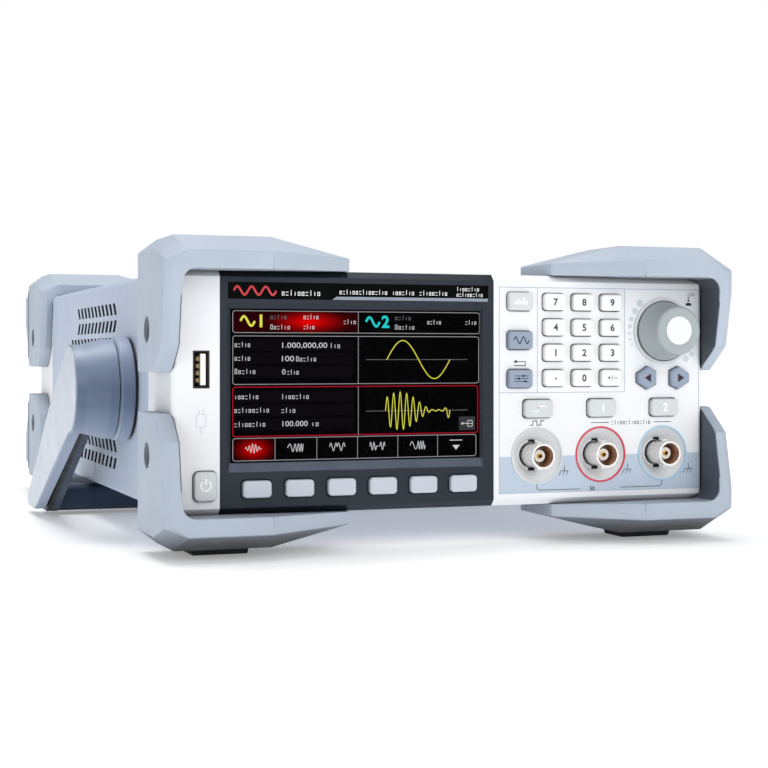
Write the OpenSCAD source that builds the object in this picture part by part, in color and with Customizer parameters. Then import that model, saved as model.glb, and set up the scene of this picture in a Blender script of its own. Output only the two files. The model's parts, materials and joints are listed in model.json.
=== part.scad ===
// Two-channel bench function generator: half-rack case, colour screen, soft keys, keypad, encoder,
// three BNC outputs, corner bumpers and a turning carrying handle.
//
// Modules draw in the panel frame: X runs right from the face's left edge, Y runs back from the face
// and Z runs up from the face's mid-height. in_panel() moves that frame to the part's own origin.

/* [Case] */
// Width of the face and of the case behind it
body_w = 215; // [214:0.5:217]
// Height of the case over its top and bottom skins
body_h = 88; // [88:0.5:90]
// Depth of the white front bezel
front_bezel_d = 40.7; // [38:0.1:44]
// Length of the blue-grey sleeve between the two bezels
sleeve_d = 242.3; // [240:0.1:246]
// Depth of the white rear bezel
rear_bezel_d = 41; // [40:0.5:44]
// Thickness of the moulded case walls
wall = 2.5; // [2:0.1:2.8]
// Height and depth of the bevel along the face's top and bottom edges
face_bevel = 2.4; // [1.5:0.1:2.6]
// Radius of the case's long edges
case_edge_r = 3; // [2:0.5:4]

/* [Screen] */
// Left edge of the dark display frame
frame_x = 17.4; // [17:0.1:17.8]
// Width of the dark display frame
frame_w = 106.8; // [106:0.1:107]
// Thickness of the dark display frame
frame_t = 3; // [2.8:0.1:3.2]
// Width of the window's clear opening
window_w = 97.2; // [96:0.1:98]
// Height of the window's clear opening
window_h = 55.5; // [54:0.1:56]

/* [Keys] */
// How far the keypad and function keys stand out of the face
key_proud = 2.4; // [1.5:0.1:3]
// How far the soft keys stand out of the display frame
softkey_proud = 2; // [1.5:0.1:2.5]
// Gap around each key in its opening
key_gap = 0.3; // [0.2:0.05:0.4]
// Travel of every key
key_travel = 1.2; // [0.8:0.1:1.2]

/* [Encoder and outputs] */
// Diameter of the knob at its base
knob_d = 23; // [21:0.5:23.5]
// Distance from the face to the knob's front
knob_front = 12.8; // [11:0.1:13]
// Push travel of the encoder
push_travel = 0.5; // [0.3:0.1:0.5]
// Outer diameter of a BNC barrel at its mouth
bnc_d = 9.7; // [9.6:0.05:9.7]
// Distance from the face to a BNC mouth
bnc_front = 6; // [5:0.5:8]

/* [Handle] */
// Distance from the face back to the handle's pivot axis
pivot_y = 78.5; // [76:0.5:82]
// Outer radius of the hubs where they meet the case
hub_r = 20.3; // [19:0.1:21]
// Distance from the case side to the outer face of the arm
handle_out = 24; // [23:0.5:25]
// Diameter of the pivot stub inside each hub
pivot_d = 16; // [14:1:16]

/* [Bumpers and feet] */
// Distance the front bumpers stand forward of the face
bumper_nose = 14.5; // [13.5:0.1:15]
// Thickness of the bumpers over the case sides
bumper_side = 6.5; // [6:0.1:7]
// Height of the bumpers over the case top and bottom
bumper_rise = 12.2; // [11:0.1:13]
// Height of the rubber foot pads
foot_h = 3; // [2:0.5:4]

/* [Hidden] */
$fn = 48;
half_h = body_h / 2;
case_d = front_bezel_d + sleeve_d + rear_bezel_d;
mid_z = half_h + bumper_rise + foot_h;
rear_foot_y = case_d + 18;
front_y = bumper_nose - (bumper_nose + rear_foot_y) / 2;
skin = wall - 0.5;
fit = 0.05;
tiny = 0.01;

// Display region
window_x = 21.6;
window_z = -25.4;
lens_y = 1.2;
lens_t = 1;
lcd_pos = [19, 2.4, -29];
lcd_size = [102, 5.3, 62];
lcd_gap = 0.2;
backing_t = 2;
header_box = [20.4, 33.6, 101.6, 6.1];

// Key rows: centres and sizes on the face
softkey_size = [10.7, 6.3];
softkey_pos = [for (i = [0:5]) [30.9 + i * 16.08, -34.9]];
pad_size = [9.1, 6.4];
pad_pitch = [12.2, 9.75];
pad_top_left = [149.2, 33.8];
side_size = [9.9, 6.9];
side_x = 134.7;
side_z = [33.85, 19.05, 4.4];
output_size = [11.8, 6.9];
output_x = [142.3, 169.6, 197];
output_key_z = -7.15;
arrow_x = [189.3, 204];
arrow_z = 4.45;
arrow_size = [8, 8.9];
power_pos = [11.9, -33.4];
power_size = [8.4, 10.6];
key_flange_t = 1;
key_lip = 1;
key_chamfer = 0.5;
usb_box = [7.8, 1.7, 5.7, 13.1];

// Boards behind the face
mat_y = 7.8;
board_y = 9;
board_t = 1.6;

// Encoder
encoder_pos = [197.2, 22.9];
shaft_r = 3;
shaft_end = 5;
plunger_t = 1.2;
encoder_back = 8.8;

// Front outputs
output_z = -25.2;
dish_r = 10.4;
dish_deep = 5;
dish_hole_r = 5.15;
bnc_len = 26;
rear_bnc_out = 10;

// Side vents: rows from the top, slots per row, and the slant of each slot
vent_top = 35;
vent_rows = [11, 11, 13, 13, 13, 13, 13, 13, 11, 11];
vent_row_pitch = 7.15;
vent_h = 4.9;
vent_w = 5;
vent_pitch = 9;
vent_slant = 4.2;
vent_y = 104.5;

// Handle outline in the pivot frame: Y back from the pivot, Z up
hub_face_r = 17.5;
hub_back = 7;
cover_t = 4.6;
arm_top = [53.5, -9.1];
arm_tip = [121, -52.5];
arm_heel = [96.1, -56.3];
arm_knee = [-8.5, -13.2];
bail_out = handle_out - cover_t - 1.2;
bail_in = bail_out - 5.4;
grip_y = 109;
grip_z = -51.7;
grip_size = [20, 11.6];

// Bumpers: corner outlines of the upper-left one, mirrored to the others
bumper_d = 28.5;
leg_end = 7.3;
arm_len = 66.5;
arm_flat = 36.5;
bumper_screw = [12.3, 22.6];
bumper_shift = case_d + 1.2 - bumper_d;
recess_r = 4.8;
foot_x = 9.6;
foot_w = 20.9;

// Rear panel and what it carries
panel_y = case_d - 8;
panel_t = 2;
fan_pos = [56, 4];
fan_size = 60;
fan_t = 15;
inlet_pos = [184, -18];
switch_pos = [184, 14];
lan_pos = [140, -22];
usb_b_pos = [118, -22];
rear_bnc_pos = [[108, 12], [134, 12]];
earth_pos = [158, 10];
rocker_y = -1.3;
rocker_tilt = 8;
rocker_pin_r = 1;

// Chassis: underside of the tray, its sheet, and the height of the board above it
tray_z = wall + 0.1 - half_h;
tray_t = 1.2;
post_h = 8;

// ---------------------------------------------------------------- helpers

module in_panel() {
    translate([-body_w / 2, front_y, mid_z]) children();
}

// Extrudes an X-Z outline backwards from depth y
module back_from(y, depth) {
    translate([0, y, 0]) rotate([90, 0, 0]) translate([0, 0, -depth]) linear_extrude(depth) children();
}

// Extrudes a Y-Z outline to the right from x
module right_from(x, width) {
    translate([x, 0, 0]) rotate([90, 0, 90]) linear_extrude(width) children();
}

// A cylinder whose axis runs along Y from y0 to y1, at a point of the face
module rod_y(pos, r, y0, y1, r_end = -1) {
    translate([pos[0], y0, pos[1]]) rotate([-90, 0, 0])
        cylinder(h = y1 - y0, r1 = r, r2 = r_end < 0 ? r : r_end);
}

// A cylinder whose axis runs along X from x0 to x1, at a Y-Z point
module rod_x(pos, r, x0, x1, r_end = -1) {
    translate([x0, pos[0], pos[1]]) rotate([0, 90, 0])
        cylinder(h = x1 - x0, r1 = r, r2 = r_end < 0 ? r : r_end);
}

// Rectangle with round corners, centred
module round_rect(w, h, r) {
    square([w - 2 * r, h], center = true);
    square([w, h - 2 * r], center = true);
    for (x = [-1, 1], z = [-1, 1])
        translate([x * (w / 2 - r), z * (h / 2 - r)]) circle(r);
}

module left_and_right() {
    children();
    translate([body_w, 0, 0]) mirror([1, 0, 0]) children();
}

module above_and_below() {
    children();
    mirror([0, 0, 1]) children();
}

// The case outline seen from the front, shrunk by an inset
module case_outline(inset = 0) {
    translate([body_w / 2, 0])
        round_rect(body_w - 2 * inset, body_h - 2 * inset, max(case_edge_r - inset, 0.5));
}

// ---------------------------------------------------------------- front bezel and screen

// Outer form of the front bezel: round long edges, bevels above and below, round upright edges
module bezel_form() {
    upright_r = 2;
    intersection() {
        back_from(0, front_bezel_d) case_outline();
        right_from(0, body_w) polygon([
            [0, face_bevel - half_h], [face_bevel, -half_h], [front_bezel_d, -half_h],
            [front_bezel_d, half_h], [face_bevel, half_h], [0, half_h - face_bevel]
        ]);
        translate([0, 0, -half_h]) linear_extrude(body_h) {
            translate([upright_r, 0]) square([body_w - 2 * upright_r, front_bezel_d]);
            translate([0, upright_r]) square([body_w, front_bezel_d - upright_r]);
            for (x = [upright_r, body_w - upright_r]) translate([x, upright_r]) circle(upright_r);
        }
    }
}

module key_opening(pos, size, r = 1.2) {
    translate([pos[0], 0, pos[1]]) back_from(-1, 8)
        round_rect(size[0] + 2 * key_gap, size[1] + 2 * key_gap, r + key_gap);
}

// Dish around an output: its hollow when wall_r is 0, its cup wall otherwise
module dish(pos, wall_r = 0) {
    rod_y(pos, dish_r + wall_r, wall_r > 0 ? 1 : -tiny, dish_deep + wall_r, dish_hole_r + 0.9 + wall_r);
}

// Inner wall behind the display frame, cleared for the power button's flange
module frame_backing() difference() {
    translate([frame_x - wall, wall - tiny, wall - half_h - 0.2])
        cube([frame_w + 2 * wall, frame_t + backing_t - wall, body_h - 2 * wall + 0.4]);
    translate([0, wall, power_pos[1] - power_size[1] / 2 - 1.5])
        cube([frame_x + 0.3, 9, power_size[1] + 3]);
}

// Room for the screen module from depth y backwards
module lcd_pocket(y) {
    translate([lcd_pos[0] - lcd_gap, y, lcd_pos[2] - lcd_gap])
        cube([lcd_size[0] + 2 * lcd_gap, 9, lcd_size[2] + 2 * lcd_gap]);
}

module front_bezel() color("whitesmoke") in_panel() difference() {
    union() {
        difference() {
            bezel_form();
            translate([wall, wall, wall - half_h])
                cube([body_w - 2 * wall, front_bezel_d, body_h - 2 * wall]);
        }
        frame_backing();
        for (x = output_x) dish([x, output_z], 1.6);
    }
    translate([frame_x, -1, -half_h - 1]) cube([frame_w, frame_t + 1, body_h + 2]);
    lcd_pocket(0);
    translate([usb_box[0] - 0.2, -1, usb_box[1] - 0.2])
        cube([usb_box[2] + 0.4, 6, usb_box[3] + 0.4]);
    rod_y(encoder_pos, 3.9, -1, 4);
    for (x = output_x) {
        dish([x, output_z]);
        rod_y([x, output_z], dish_hole_r, 0, 10);
        translate([x - 1.4, 0, output_z - 6]) cube([2.8, 10, 12]);
    }
    for (p = softkey_pos) key_opening(p, softkey_size);
    for (row = [0:3], col = [0:2]) key_opening(pad_at(row, col), pad_size);
    for (z = side_z) key_opening([side_x, z], side_size);
    for (x = output_x) key_opening([x, output_key_z], output_size);
    for (i = [0, 1]) arrow_opening(i);
    key_opening(power_pos, power_size, 2);
    above_and_below() left_and_right() rod_x(bumper_screw, 1.4, -1, wall + 1);
}

// Dark frame with a ledge sloping down to the window, openings for the soft keys and a header recess
module display_frame() color("#2b333d") in_panel() difference() {
    intersection() {
        translate([0.05, 0, 0]) bezel_form();
        translate([frame_x + 0.05, -1, -half_h]) cube([frame_w - 0.1, 1 + frame_t - tiny, body_h]);
    }
    hull() {
        back_from(-tiny, tiny) translate([window_x - 1.6, window_z - 3.4])
            square([window_w + 2.6, window_h + 5.4]);
        back_from(lens_y - 0.1, tiny) translate([window_x, window_z]) square([window_w, window_h]);
    }
    translate([window_x, -1, window_z]) cube([window_w, 9, window_h]);
    translate([window_x - 1, lens_y, window_z - 1]) cube([window_w + 2, 9, window_h + 2]);
    lcd_pocket(lcd_pos[1] - 0.05);
    translate([header_box[0], -tiny, header_box[1]]) cube([header_box[2], 0.3, header_box[3]]);
    for (p = softkey_pos) key_opening(p, softkey_size);
}

module display_lens() color("#10141a", 0.5) in_panel()
    translate([window_x - 0.8, lens_y, window_z - 0.8]) cube([window_w + 1.6, lens_t, window_h + 1.6]);

module lcd_module() color("#1a1d22") in_panel()
    translate(lcd_pos) cube(lcd_size);

// ---------------------------------------------------------------- keys

function pad_at(row, col) = pad_top_left + [col * pad_pitch[0], -row * pad_pitch[1]];

// Two-dimensional outline of an arrow key: a hexagon that narrows towards the side it points at
module arrow_outline(i, grow = 0) {
    w = arrow_size[0] / 2 + grow;
    h = arrow_size[1] / 2 + grow;
    flat = 1.7 + grow / 2;
    side = i == 0 ? -1 : 1;
    polygon([
        [side * w, -flat], [side * w, flat], [side * -0.5, h],
        [-side * w, h * 0.62], [-side * w, -h * 0.62], [side * -0.5, -h]
    ]);
}

module arrow_opening(i) {
    translate([arrow_x[i], 0, arrow_z]) back_from(-1, 8) arrow_outline(i, key_gap);
}

// A key in its opening. Children 0, 1 and 2 are its outline: the crown, the shank and the flange.
module key_form(pos, proud, seat_y) {
    translate([pos[0], 0, pos[1]]) {
        hull() {
            back_from(-proud, tiny) children(0);
            back_from(-proud + key_chamfer, tiny) children(1);
        }
        back_from(-proud + key_chamfer, seat_y + proud - key_chamfer) children(1);
        back_from(seat_y, key_flange_t) children(2);
    }
}

module key(pos, size, r = 1.2, proud = key_proud, seat_y = wall + 0.3) {
    in_panel() key_form(pos, proud, seat_y) {
        round_rect(size[0] - 2 * key_chamfer, size[1] - 2 * key_chamfer, max(r - key_chamfer, 0.4));
        round_rect(size[0], size[1], r);
        round_rect(size[0] + 2 * key_lip, size[1] + 2 * key_lip, r);
    }
}

module soft_key(i) color("#c9ccd8")
    key(softkey_pos[i], softkey_size, 1.1, softkey_proud, frame_t + backing_t + 0.3);

module pad_key(row, col) color("white") key(pad_at(row, col), pad_size, 1.6);

module side_key(i, tint) color(tint) key([side_x, side_z[i]], side_size, 1);

module output_key(i) color("#dfe3e6") key([output_x[i], output_key_z], output_size, 1.8);

module arrow_key(i) color("#9aa5b8") in_panel()
    key_form([arrow_x[i], arrow_z], key_proud, wall + 0.3) {
        arrow_outline(i, -key_chamfer);
        arrow_outline(i);
        arrow_outline(i, key_lip * 0.8);
    }

module power_button() color("#e3e6e6") key(power_pos, power_size, 2, softkey_proud);

// Rubber mat behind the keys, with a boss under each one that stops short of the pressed flange
module key_mat() color("#6f7680") in_panel() {
    clear = 0.1;
    sheet_t = 1;
    boss_y = wall + 0.3 + key_flange_t + key_travel + clear;
    soft_boss_y = boss_y + frame_t + backing_t - wall;
    difference() {
        back_from(mat_y, sheet_t) {
            translate([6, -41]) square([122.5, 11]);
            translate([121.8, -41]) square([6.7, 81]);
            translate([121.8, -12]) square([89, 52]);
        }
        rod_y(encoder_pos, 11, mat_y - 1, mat_y + 2);
    }
    for (row = [0:3], col = [0:2]) rod_y(pad_at(row, col), 2, boss_y, mat_y + tiny);
    for (z = side_z) rod_y([side_x, z], 2, boss_y, mat_y + tiny);
    for (x = output_x) rod_y([x, output_key_z], 2, boss_y, mat_y + tiny);
    for (x = arrow_x) rod_y([x, arrow_z], 2, boss_y, mat_y + tiny);
    for (p = softkey_pos) rod_y(p, 2, soft_boss_y, mat_y + tiny);
    rod_y(power_pos, 2, boss_y, mat_y + tiny);
}

// Key board: clears the output connectors and the USB port
module front_board() color("darkgreen") in_panel() difference() {
    translate([4, board_y, -41]) cube([207, board_t, 81.5]);
    for (x = output_x) rod_y([x, output_z], 8, board_y - 1, board_y + 3);
    translate([5.5, board_y - 1, 0]) cube([10, 4, 17]);
}

// ---------------------------------------------------------------- encoder and knob

module encoder_body() color("#3c4046") in_panel() difference() {
    union() {
        translate([encoder_pos[0] - 6.2, wall + 0.1, encoder_pos[1] - 6.2])
            cube([12.4, encoder_back - wall - 0.1, 12.4]);
        rod_y(encoder_pos, 3.7, -0.3, wall + 0.2);
    }
    rod_y(encoder_pos, shaft_r + fit, -1, shaft_end + plunger_t + push_travel + 0.4);
}

// Trim ring on the face around the knob's foot
module knob_ring() color("#d8dde2") in_panel() {
    r = knob_d / 2 + 0.5;
    difference() {
        rod_y(encoder_pos, r + 1, -0.8, 0);
        rod_y(encoder_pos, r, -2, 1);
    }
}

module encoder_plunger() color("#e8e4d8") in_panel()
    rod_y(encoder_pos, shaft_r - 0.1, shaft_end, shaft_end + plunger_t);

module encoder_shaft() color("silver") in_panel()
    rod_y(encoder_pos, shaft_r, -knob_front + 3.5, shaft_end);

// Knob turned about the shaft: wide foot, hollow waist, round nose and a shallow seat for the cap
module knob() color("#a9b3b6") in_panel() {
    foot = knob_d / 2;
    nose = foot - 1.9;
    length = knob_front - 1;
    waist = [for (t = [0:0.1:1]) [foot - 0.3 - (foot - nose - 0.3) * pow(sin(90 * t), 0.8), 1.2 + (length - 2.6) * t]];
    nose_arc = [for (a = [0:15:90]) [nose - 1.4 + 1.4 * cos(a), length - 1.4 + 1.4 * sin(a)]];
    translate([encoder_pos[0], -1, encoder_pos[1]]) rotate([90, 0, 0]) rotate_extrude()
        polygon(concat(
            [[shaft_r, 0], [foot, 0], [foot, 0.9]], waist, nose_arc,
            [[5.6, length], [5.6, length - 0.9], [0, length - 0.9], [0, length - 2.5], [shaft_r, length - 2.5]]
        ));
}

module knob_cap() color("white") in_panel()
    rod_y(encoder_pos, 5.55, -knob_front + 0.05, -knob_front + 0.9);

// ---------------------------------------------------------------- outputs and USB

// Shell of a BNC socket: a full-width land at the mouth, then a relieved barrel with two bayonet lugs
module bnc_shell() {
    r = bnc_d / 2;
    bore_r = 4.1;
    land = 2.6;
    relief = 0.25;
    difference() {
        union() {
            rod_y([0, 0], r, 0, land);
            rod_y([0, 0], r - relief, land - tiny, 14);
            rod_y([0, 0], 7.2, 13, 15);
            rod_y([0, 0], 5.4, 15 - tiny, bnc_len);
            translate([-1, land + 1, -5.5]) cube([2, 2, 11]);
        }
        rod_y([0, 0], bore_r, -1, 9);
        rod_y([0, 0], 2.35, -1, bnc_len + 1);
    }
}

// Puts its children, whose mouth is at the plane Y = 0, at each front output and each rear socket
module at_outputs() {
    for (x = output_x) translate([x, -bnc_front, output_z]) children();
    for (p = rear_bnc_pos) translate([p[0], panel_y + panel_t + rear_bnc_out, p[1]]) mirror([0, 1, 0]) children();
}

module bnc_shells() color("silver") in_panel() at_outputs() bnc_shell();

// White insulators with the hole of the centre contact in each
module bnc_cores() color("#f4efe6") in_panel() at_outputs() difference() {
    rod_y([0, 0], 2.3, 3.6, bnc_len + 4);
    rod_y([0, 0], 0.6, 3, 12);
}

// Upright USB-A port: a folded shell open at the front and the tongue inside it
module usb_port() color("gainsboro") in_panel() {
    t = 0.4;
    y0 = 0.3;
    depth = 14;
    difference() {
        translate([usb_box[0], y0, usb_box[1]]) cube([usb_box[2], depth, usb_box[3]]);
        translate([usb_box[0] + t, y0 - 1, usb_box[1] + t])
            cube([usb_box[2] - 2 * t, depth, usb_box[3] - 2 * t]);
    }
    translate([usb_box[0] + 2.8, y0 + 0.7, usb_box[1] + 1]) cube([1.8, depth - 1.2, usb_box[3] - 2]);
}

// ---------------------------------------------------------------- sleeve, rear bezel and rear panel

// One slanted slot in the Y-Z plane, its foot at the origin
module vent_slot(slant) {
    polygon([
        [slant > 0 ? 0 : -slant, 0], [(slant > 0 ? 0 : -slant) + vent_w, 0],
        [(slant > 0 ? slant : 0) + vent_w, vent_h], [slant > 0 ? slant : 0, vent_h]
    ]);
}

module case_sleeve() color("#b4c0d4") in_panel() difference() {
    back_from(front_bezel_d, sleeve_d) difference() {
        case_outline();
        case_outline(skin);
    }
    right_from(-1, body_w + 2) for (row = [0:9], i = [0:vent_rows[row] - 1])
        translate([vent_y + i * vent_pitch, vent_top - vent_h - row * vent_row_pitch])
            vent_slot(row % 2 == 0 ? vent_slant : -vent_slant);
    for (x = [-1, body_w - skin - 1]) rod_x([pivot_y, 0], 2.6, x, x + skin + 2);
}

module rear_bezel() color("whitesmoke") in_panel() {
    y0 = front_bezel_d + sleeve_d;
    difference() {
        back_from(y0, rear_bezel_d) difference() {
            case_outline();
            case_outline(wall + 1.5);
        }
        back_from(panel_y, panel_t + 10) case_outline(wall - 0.05);
        back_from(y0 - 1, rear_bezel_d - 13) case_outline(wall);
        above_and_below() left_and_right()
            rod_x([bumper_shift + bumper_screw[0], bumper_screw[1]], 1.4, -1, wall + 3);
    }
    for (p = panel_screw_pos()) difference() {
        rod_y(p, 3.8, panel_y - 8, panel_y);
        rod_y(p, 1.55, panel_y - 9, panel_y + 1);
    }
}

module rear_panel() color("#d4d7da") in_panel() difference() {
    back_from(panel_y, panel_t) case_outline(wall);
    for (ring = [0:3]) for (a = [0:360 / (6 * ring + 6):359])
        rod_y(fan_pos + (5 + 6.2 * ring) * [cos(a), sin(a)], 2, panel_y - 1, panel_y + 4);
    translate([inlet_pos[0] - 14, panel_y - 1, inlet_pos[1] - 10]) cube([28, 4, 20]);
    translate([switch_pos[0] - 6.6, panel_y - 1, switch_pos[1] - 9.6]) cube([13.2, 4, 19.2]);
    translate([lan_pos[0] - 8.2, panel_y - 1, lan_pos[1] - 6.9]) cube([16.4, 4, 13.8]);
    translate([usb_b_pos[0] - 6.2, panel_y - 1, usb_b_pos[1] - 5.6]) cube([12.4, 4, 11.2]);
    for (p = rear_bnc_pos) rod_y(p, 5.6, panel_y - 1, panel_y + 4);
    rod_y(earth_pos, 2.1, panel_y - 1, panel_y + 4);
    for (p = panel_screw_pos()) rod_y(p, 1.6, panel_y - 1, panel_y + 4);
}

function panel_screw_pos() = [for (x = [9, body_w / 2 + 2, body_w - 9], z = [-36.5, 36.5]) [x, z]];

// ---------------------------------------------------------------- bumpers and feet

// Upper-left corner bumper: a leg down the side and an arm along the top, both chamfered to the nose
module bumper_corner(nose_y) {
    side = -bumper_side;
    top = half_h + bumper_rise;
    shoulder = top - 5.4;
    nose_top = half_h + 6.1;
    leg = [
        [-3.1, nose_y, 38], [-3.1, nose_y, 45.3], [2.8, nose_y, nose_top], [8, nose_y, nose_top],
        [8, nose_y, 38], [-3.1, nose_y + 4.2, 17], [8, nose_y + 4.2, 17],
        [-5.7, nose_y + 1.7, 38], [-5.7, nose_y + 1.7, 46.6], [-5.7, nose_y + 5.9, 17],
        [side, 0.8, 15], [side, 0.8, shoulder], [side + 1, 3, leg_end], [8, 0, leg_end],
        [side, 7, leg_end], [side, bumper_d, leg_end], [8, bumper_d, leg_end],
        [side, bumper_d, shoulder], [0.6, 0.5, top], [8, 0.5, top],
        [0.6, bumper_d, top], [8, bumper_d, top]
    ];
    arm = [
        [0.6, nose_y, 43.6], [33, nose_y, 43.6], [2.8, nose_y, nose_top], [33, nose_y, nose_top],
        [0.6, 0.5, top], [arm_flat, 0.5, top], [0.6, bumper_d, top], [arm_flat, bumper_d, top],
        [0.6, bumper_d, 43.6], [arm_len, 0.3, 44.1], [arm_len, 0.3, 48.8],
        [arm_len, bumper_d, 44.1], [arm_len, bumper_d, 48.8]
    ];
    for (outline = [leg, arm])
        hull() for (p = outline) translate(p) cube(tiny, center = true);
}

// Recess and clearance hole for the screw that holds a bumper
module bumper_screw_hole() {
    rod_x(bumper_screw, recess_r, -bumper_side - 1, -2.2);
    rod_x(bumper_screw, 1.8, -bumper_side - 1, 1);
}

module front_bumpers() color("#bcc6d4") in_panel() above_and_below() left_and_right() difference() {
    bumper_corner(-bumper_nose);
    back_from(-bumper_nose - 1, bumper_nose + 1) translate([body_w / 2, 0])
        round_rect(body_w - 1.2, body_h - 0.8, 5);
    back_from(-tiny, bumper_d + 2) case_outline();
    bumper_screw_hole();
}

// The rear bumpers repeat the front shape and add a foot that the case can stand on
module rear_bumpers() color("#bcc6d4") in_panel() above_and_below() left_and_right() difference() {
    union() {
        translate([0, bumper_shift, 0]) bumper_corner(-bumper_nose);
        hull() {
            translate([-bumper_side, case_d, 14]) cube([20, 1.2, 32]);
            translate([-bumper_side + 0.6, rear_foot_y - 1, 30]) cube([18, 1, 14.5]);
        }
    }
    translate([0, -1, 0]) back_from(bumper_shift - bumper_nose, case_d - bumper_shift + bumper_nose + 1)
        case_outline();
    translate([0, bumper_shift, 0]) bumper_screw_hole();
}

module foot_pads() color("#23272e") in_panel() left_and_right() for (y = [10, bumper_shift + 8])
    right_from(foot_x, foot_w) translate([y, -half_h - bumper_rise])
        polygon([[0, -foot_h], [15, -foot_h], [17, -tiny], [-2, -tiny]]);

// ---------------------------------------------------------------- handle

module hub_rings() color("#b4c0d4") in_panel() left_and_right() difference() {
    union() {
        rod_x([pivot_y, 0], hub_r - 1, -hub_back, -hub_back + 1.01, hub_r);
        rod_x([pivot_y, 0], hub_r, -hub_back + 1, -1.2);
        rod_x([pivot_y, 0], hub_r - 1.6, -1.21, 0);
        rod_x([pivot_y, 0], pivot_d / 2, -18, -hub_back + tiny);
    }
    rod_x([pivot_y, 0], 1.6, -20, 1);
}

// Side outline of an arm in the pivot frame, from the hub to the level tip
module arm_outline(trim = 0) {
    circle(hub_face_r - trim);
    polygon([
        [8, 15.6 - trim], arm_top + [0, -trim], arm_tip + [-trim, 0], arm_tip + [-3 - trim, -3.3],
        arm_heel + [trim, 0.5], [arm_knee[0] + 4, arm_knee[1] - 2 + trim]
    ]);
}

// Left arm cover: a hollow drum over the pivot stub and a plate down to the grip
module arm_cover() {
    pivot = [pivot_y, 0];
    plate_in = cover_t - handle_out;
    difference() {
        union() {
            right_from(-handle_out + 0.6, cover_t - 0.6) translate([pivot_y, 0]) arm_outline();
            right_from(-handle_out, 0.61) translate([pivot_y, 0]) arm_outline(0.6);
            rod_x(pivot, hub_face_r, plate_in - tiny, -hub_back - 4, hub_r - 0.5);
            rod_x(pivot, hub_r - 0.5, -hub_back - 4 - tiny, -hub_back - 0.3);
        }
        rod_x(pivot, hub_face_r - 1.5, plate_in, -hub_back);
    }
    difference() {
        rod_x(pivot, pivot_d / 2 + 2, plate_in - tiny, -hub_back - 0.3);
        rod_x(pivot, pivot_d / 2 + fit, plate_in, -hub_back);
    }
}

module handle_cover_left() color("#d3dae6") in_panel() arm_cover();

module handle_cover_right() color("#d3dae6") in_panel()
    translate([body_w, 0, 0]) mirror([1, 0, 0]) arm_cover();

// Dark bail: two inner arms that start outside the drums, joined by the grip bar
module handle_bail() color("#2a3644") in_panel() {
    left_and_right() difference() {
        union() {
            right_from(-bail_out, bail_out - bail_in) translate([pivot_y, 0]) {
                polygon([
                    [12, 12], arm_top + [-2, -4], [grip_y + 4, grip_z + grip_size[1] / 2],
                    [grip_y + 4, grip_z - grip_size[1] / 2], [arm_heel[0] + 4, grip_z - grip_size[1] / 2],
                    [4, -14]
                ]);
                grip_outline();
            }
            for (p = [[34, -8], [88, -40]])
                rod_x(p + [pivot_y, 0], 3, cover_t - handle_out, -bail_out + tiny);
        }
        rod_x([pivot_y, 0], hub_r - 0.4, -bail_out - 1, -bail_in + 1);
    }
    right_from(-bail_in - tiny, body_w + 2 * bail_in + 2 * tiny) translate([pivot_y, 0]) grip_outline();
}

module grip_outline() {
    translate([grip_y, grip_z]) round_rect(grip_size[0], grip_size[1], 3.5);
}

// ---------------------------------------------------------------- inside and rear

module chassis_tray() color("#aeb4ba") in_panel() {
    y0 = front_bezel_d + 3;
    len = panel_y - y0 - 10;
    difference() {
        translate([5, y0, tray_z]) cube([body_w - 10, len, 18]);
        translate([5 + tray_t, y0 - 1, tray_z + tray_t]) cube([body_w - 10 - 2 * tray_t, len + 2, 20]);
    }
    for (x = [20, body_w - 22], y = [y0 + 20, panel_y - 95])
        rod_up([x, y], 3, tray_z + tray_t - tiny, tray_z + post_h);
}

module rod_up(pos, r, z0, z1) {
    translate([pos[0], pos[1], z0]) cylinder(h = z1 - z0, r = r);
}

// Main board on the tray's posts, with a finned heat sink and a row of large parts on it
module main_board() color("#1d5c38") in_panel() {
    z = tray_z + post_h;
    y0 = front_bezel_d + 12;
    translate([12, y0, z]) cube([body_w - 24, 160, board_t]);
    translate([95, y0 + 30, z + board_t - tiny]) cube([60, 50, 3]);
    for (i = [0:9]) translate([95 + i * 6.4, y0 + 30, z + board_t + 3 - 2 * tiny]) cube([2.4, 50, 14]);
    for (x = [30, 55, 175]) translate([x, y0 + 20, z + board_t - tiny]) cube([18, 18, 2]);
    for (x = output_x) translate([x - 7, y0 + 4, z + board_t - tiny]) cube([14, 12, 9]);
}

module power_supply() color("#c5c9ce") in_panel() {
    z = tray_z + tray_t + 0.1;
    translate([120, panel_y - 84, z]) cube([80, 62, 2]);
    translate([126, panel_y - 78, z + 2 - tiny]) cube([26, 30, 24]);
    for (x = [160, 178]) rod_up([x, panel_y - 60], 7, z + 2 - tiny, z + 30);
    translate([158, panel_y - 46, z + 2 - tiny]) cube([34, 16, 18]);
}

// Fan housing behind the panel grille, with a bearing tube on three spokes
module fan_frame() color("#26292d") in_panel() {
    y0 = panel_y - fan_t - 0.2;
    difference() {
        translate([fan_pos[0], 0, fan_pos[1]]) back_from(y0, fan_t) round_rect(fan_size, fan_size, 4);
        rod_y(fan_pos, fan_size / 2 - 1.5, y0 - 1, y0 + fan_t + 1);
        for (x = [-1, 1], z = [-1, 1])
            rod_y(fan_pos + 25 * [x, z], 2.1, y0 - 1, y0 + fan_t + 1);
    }
    difference() {
        union() {
            rod_y(fan_pos, 12, y0, y0 + 1.8);
            for (a = [30, 150, 270]) translate([fan_pos[0], y0, fan_pos[1]]) rotate([0, a, 0])
                translate([10, 0, -1.5]) cube([19.5, 1.8, 3]);
            rod_y(fan_pos, 3.2, y0 + 1.7, y0 + 11);
        }
        rod_y(fan_pos, 1.55, y0 - 1, y0 + 12);
    }
}

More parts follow.
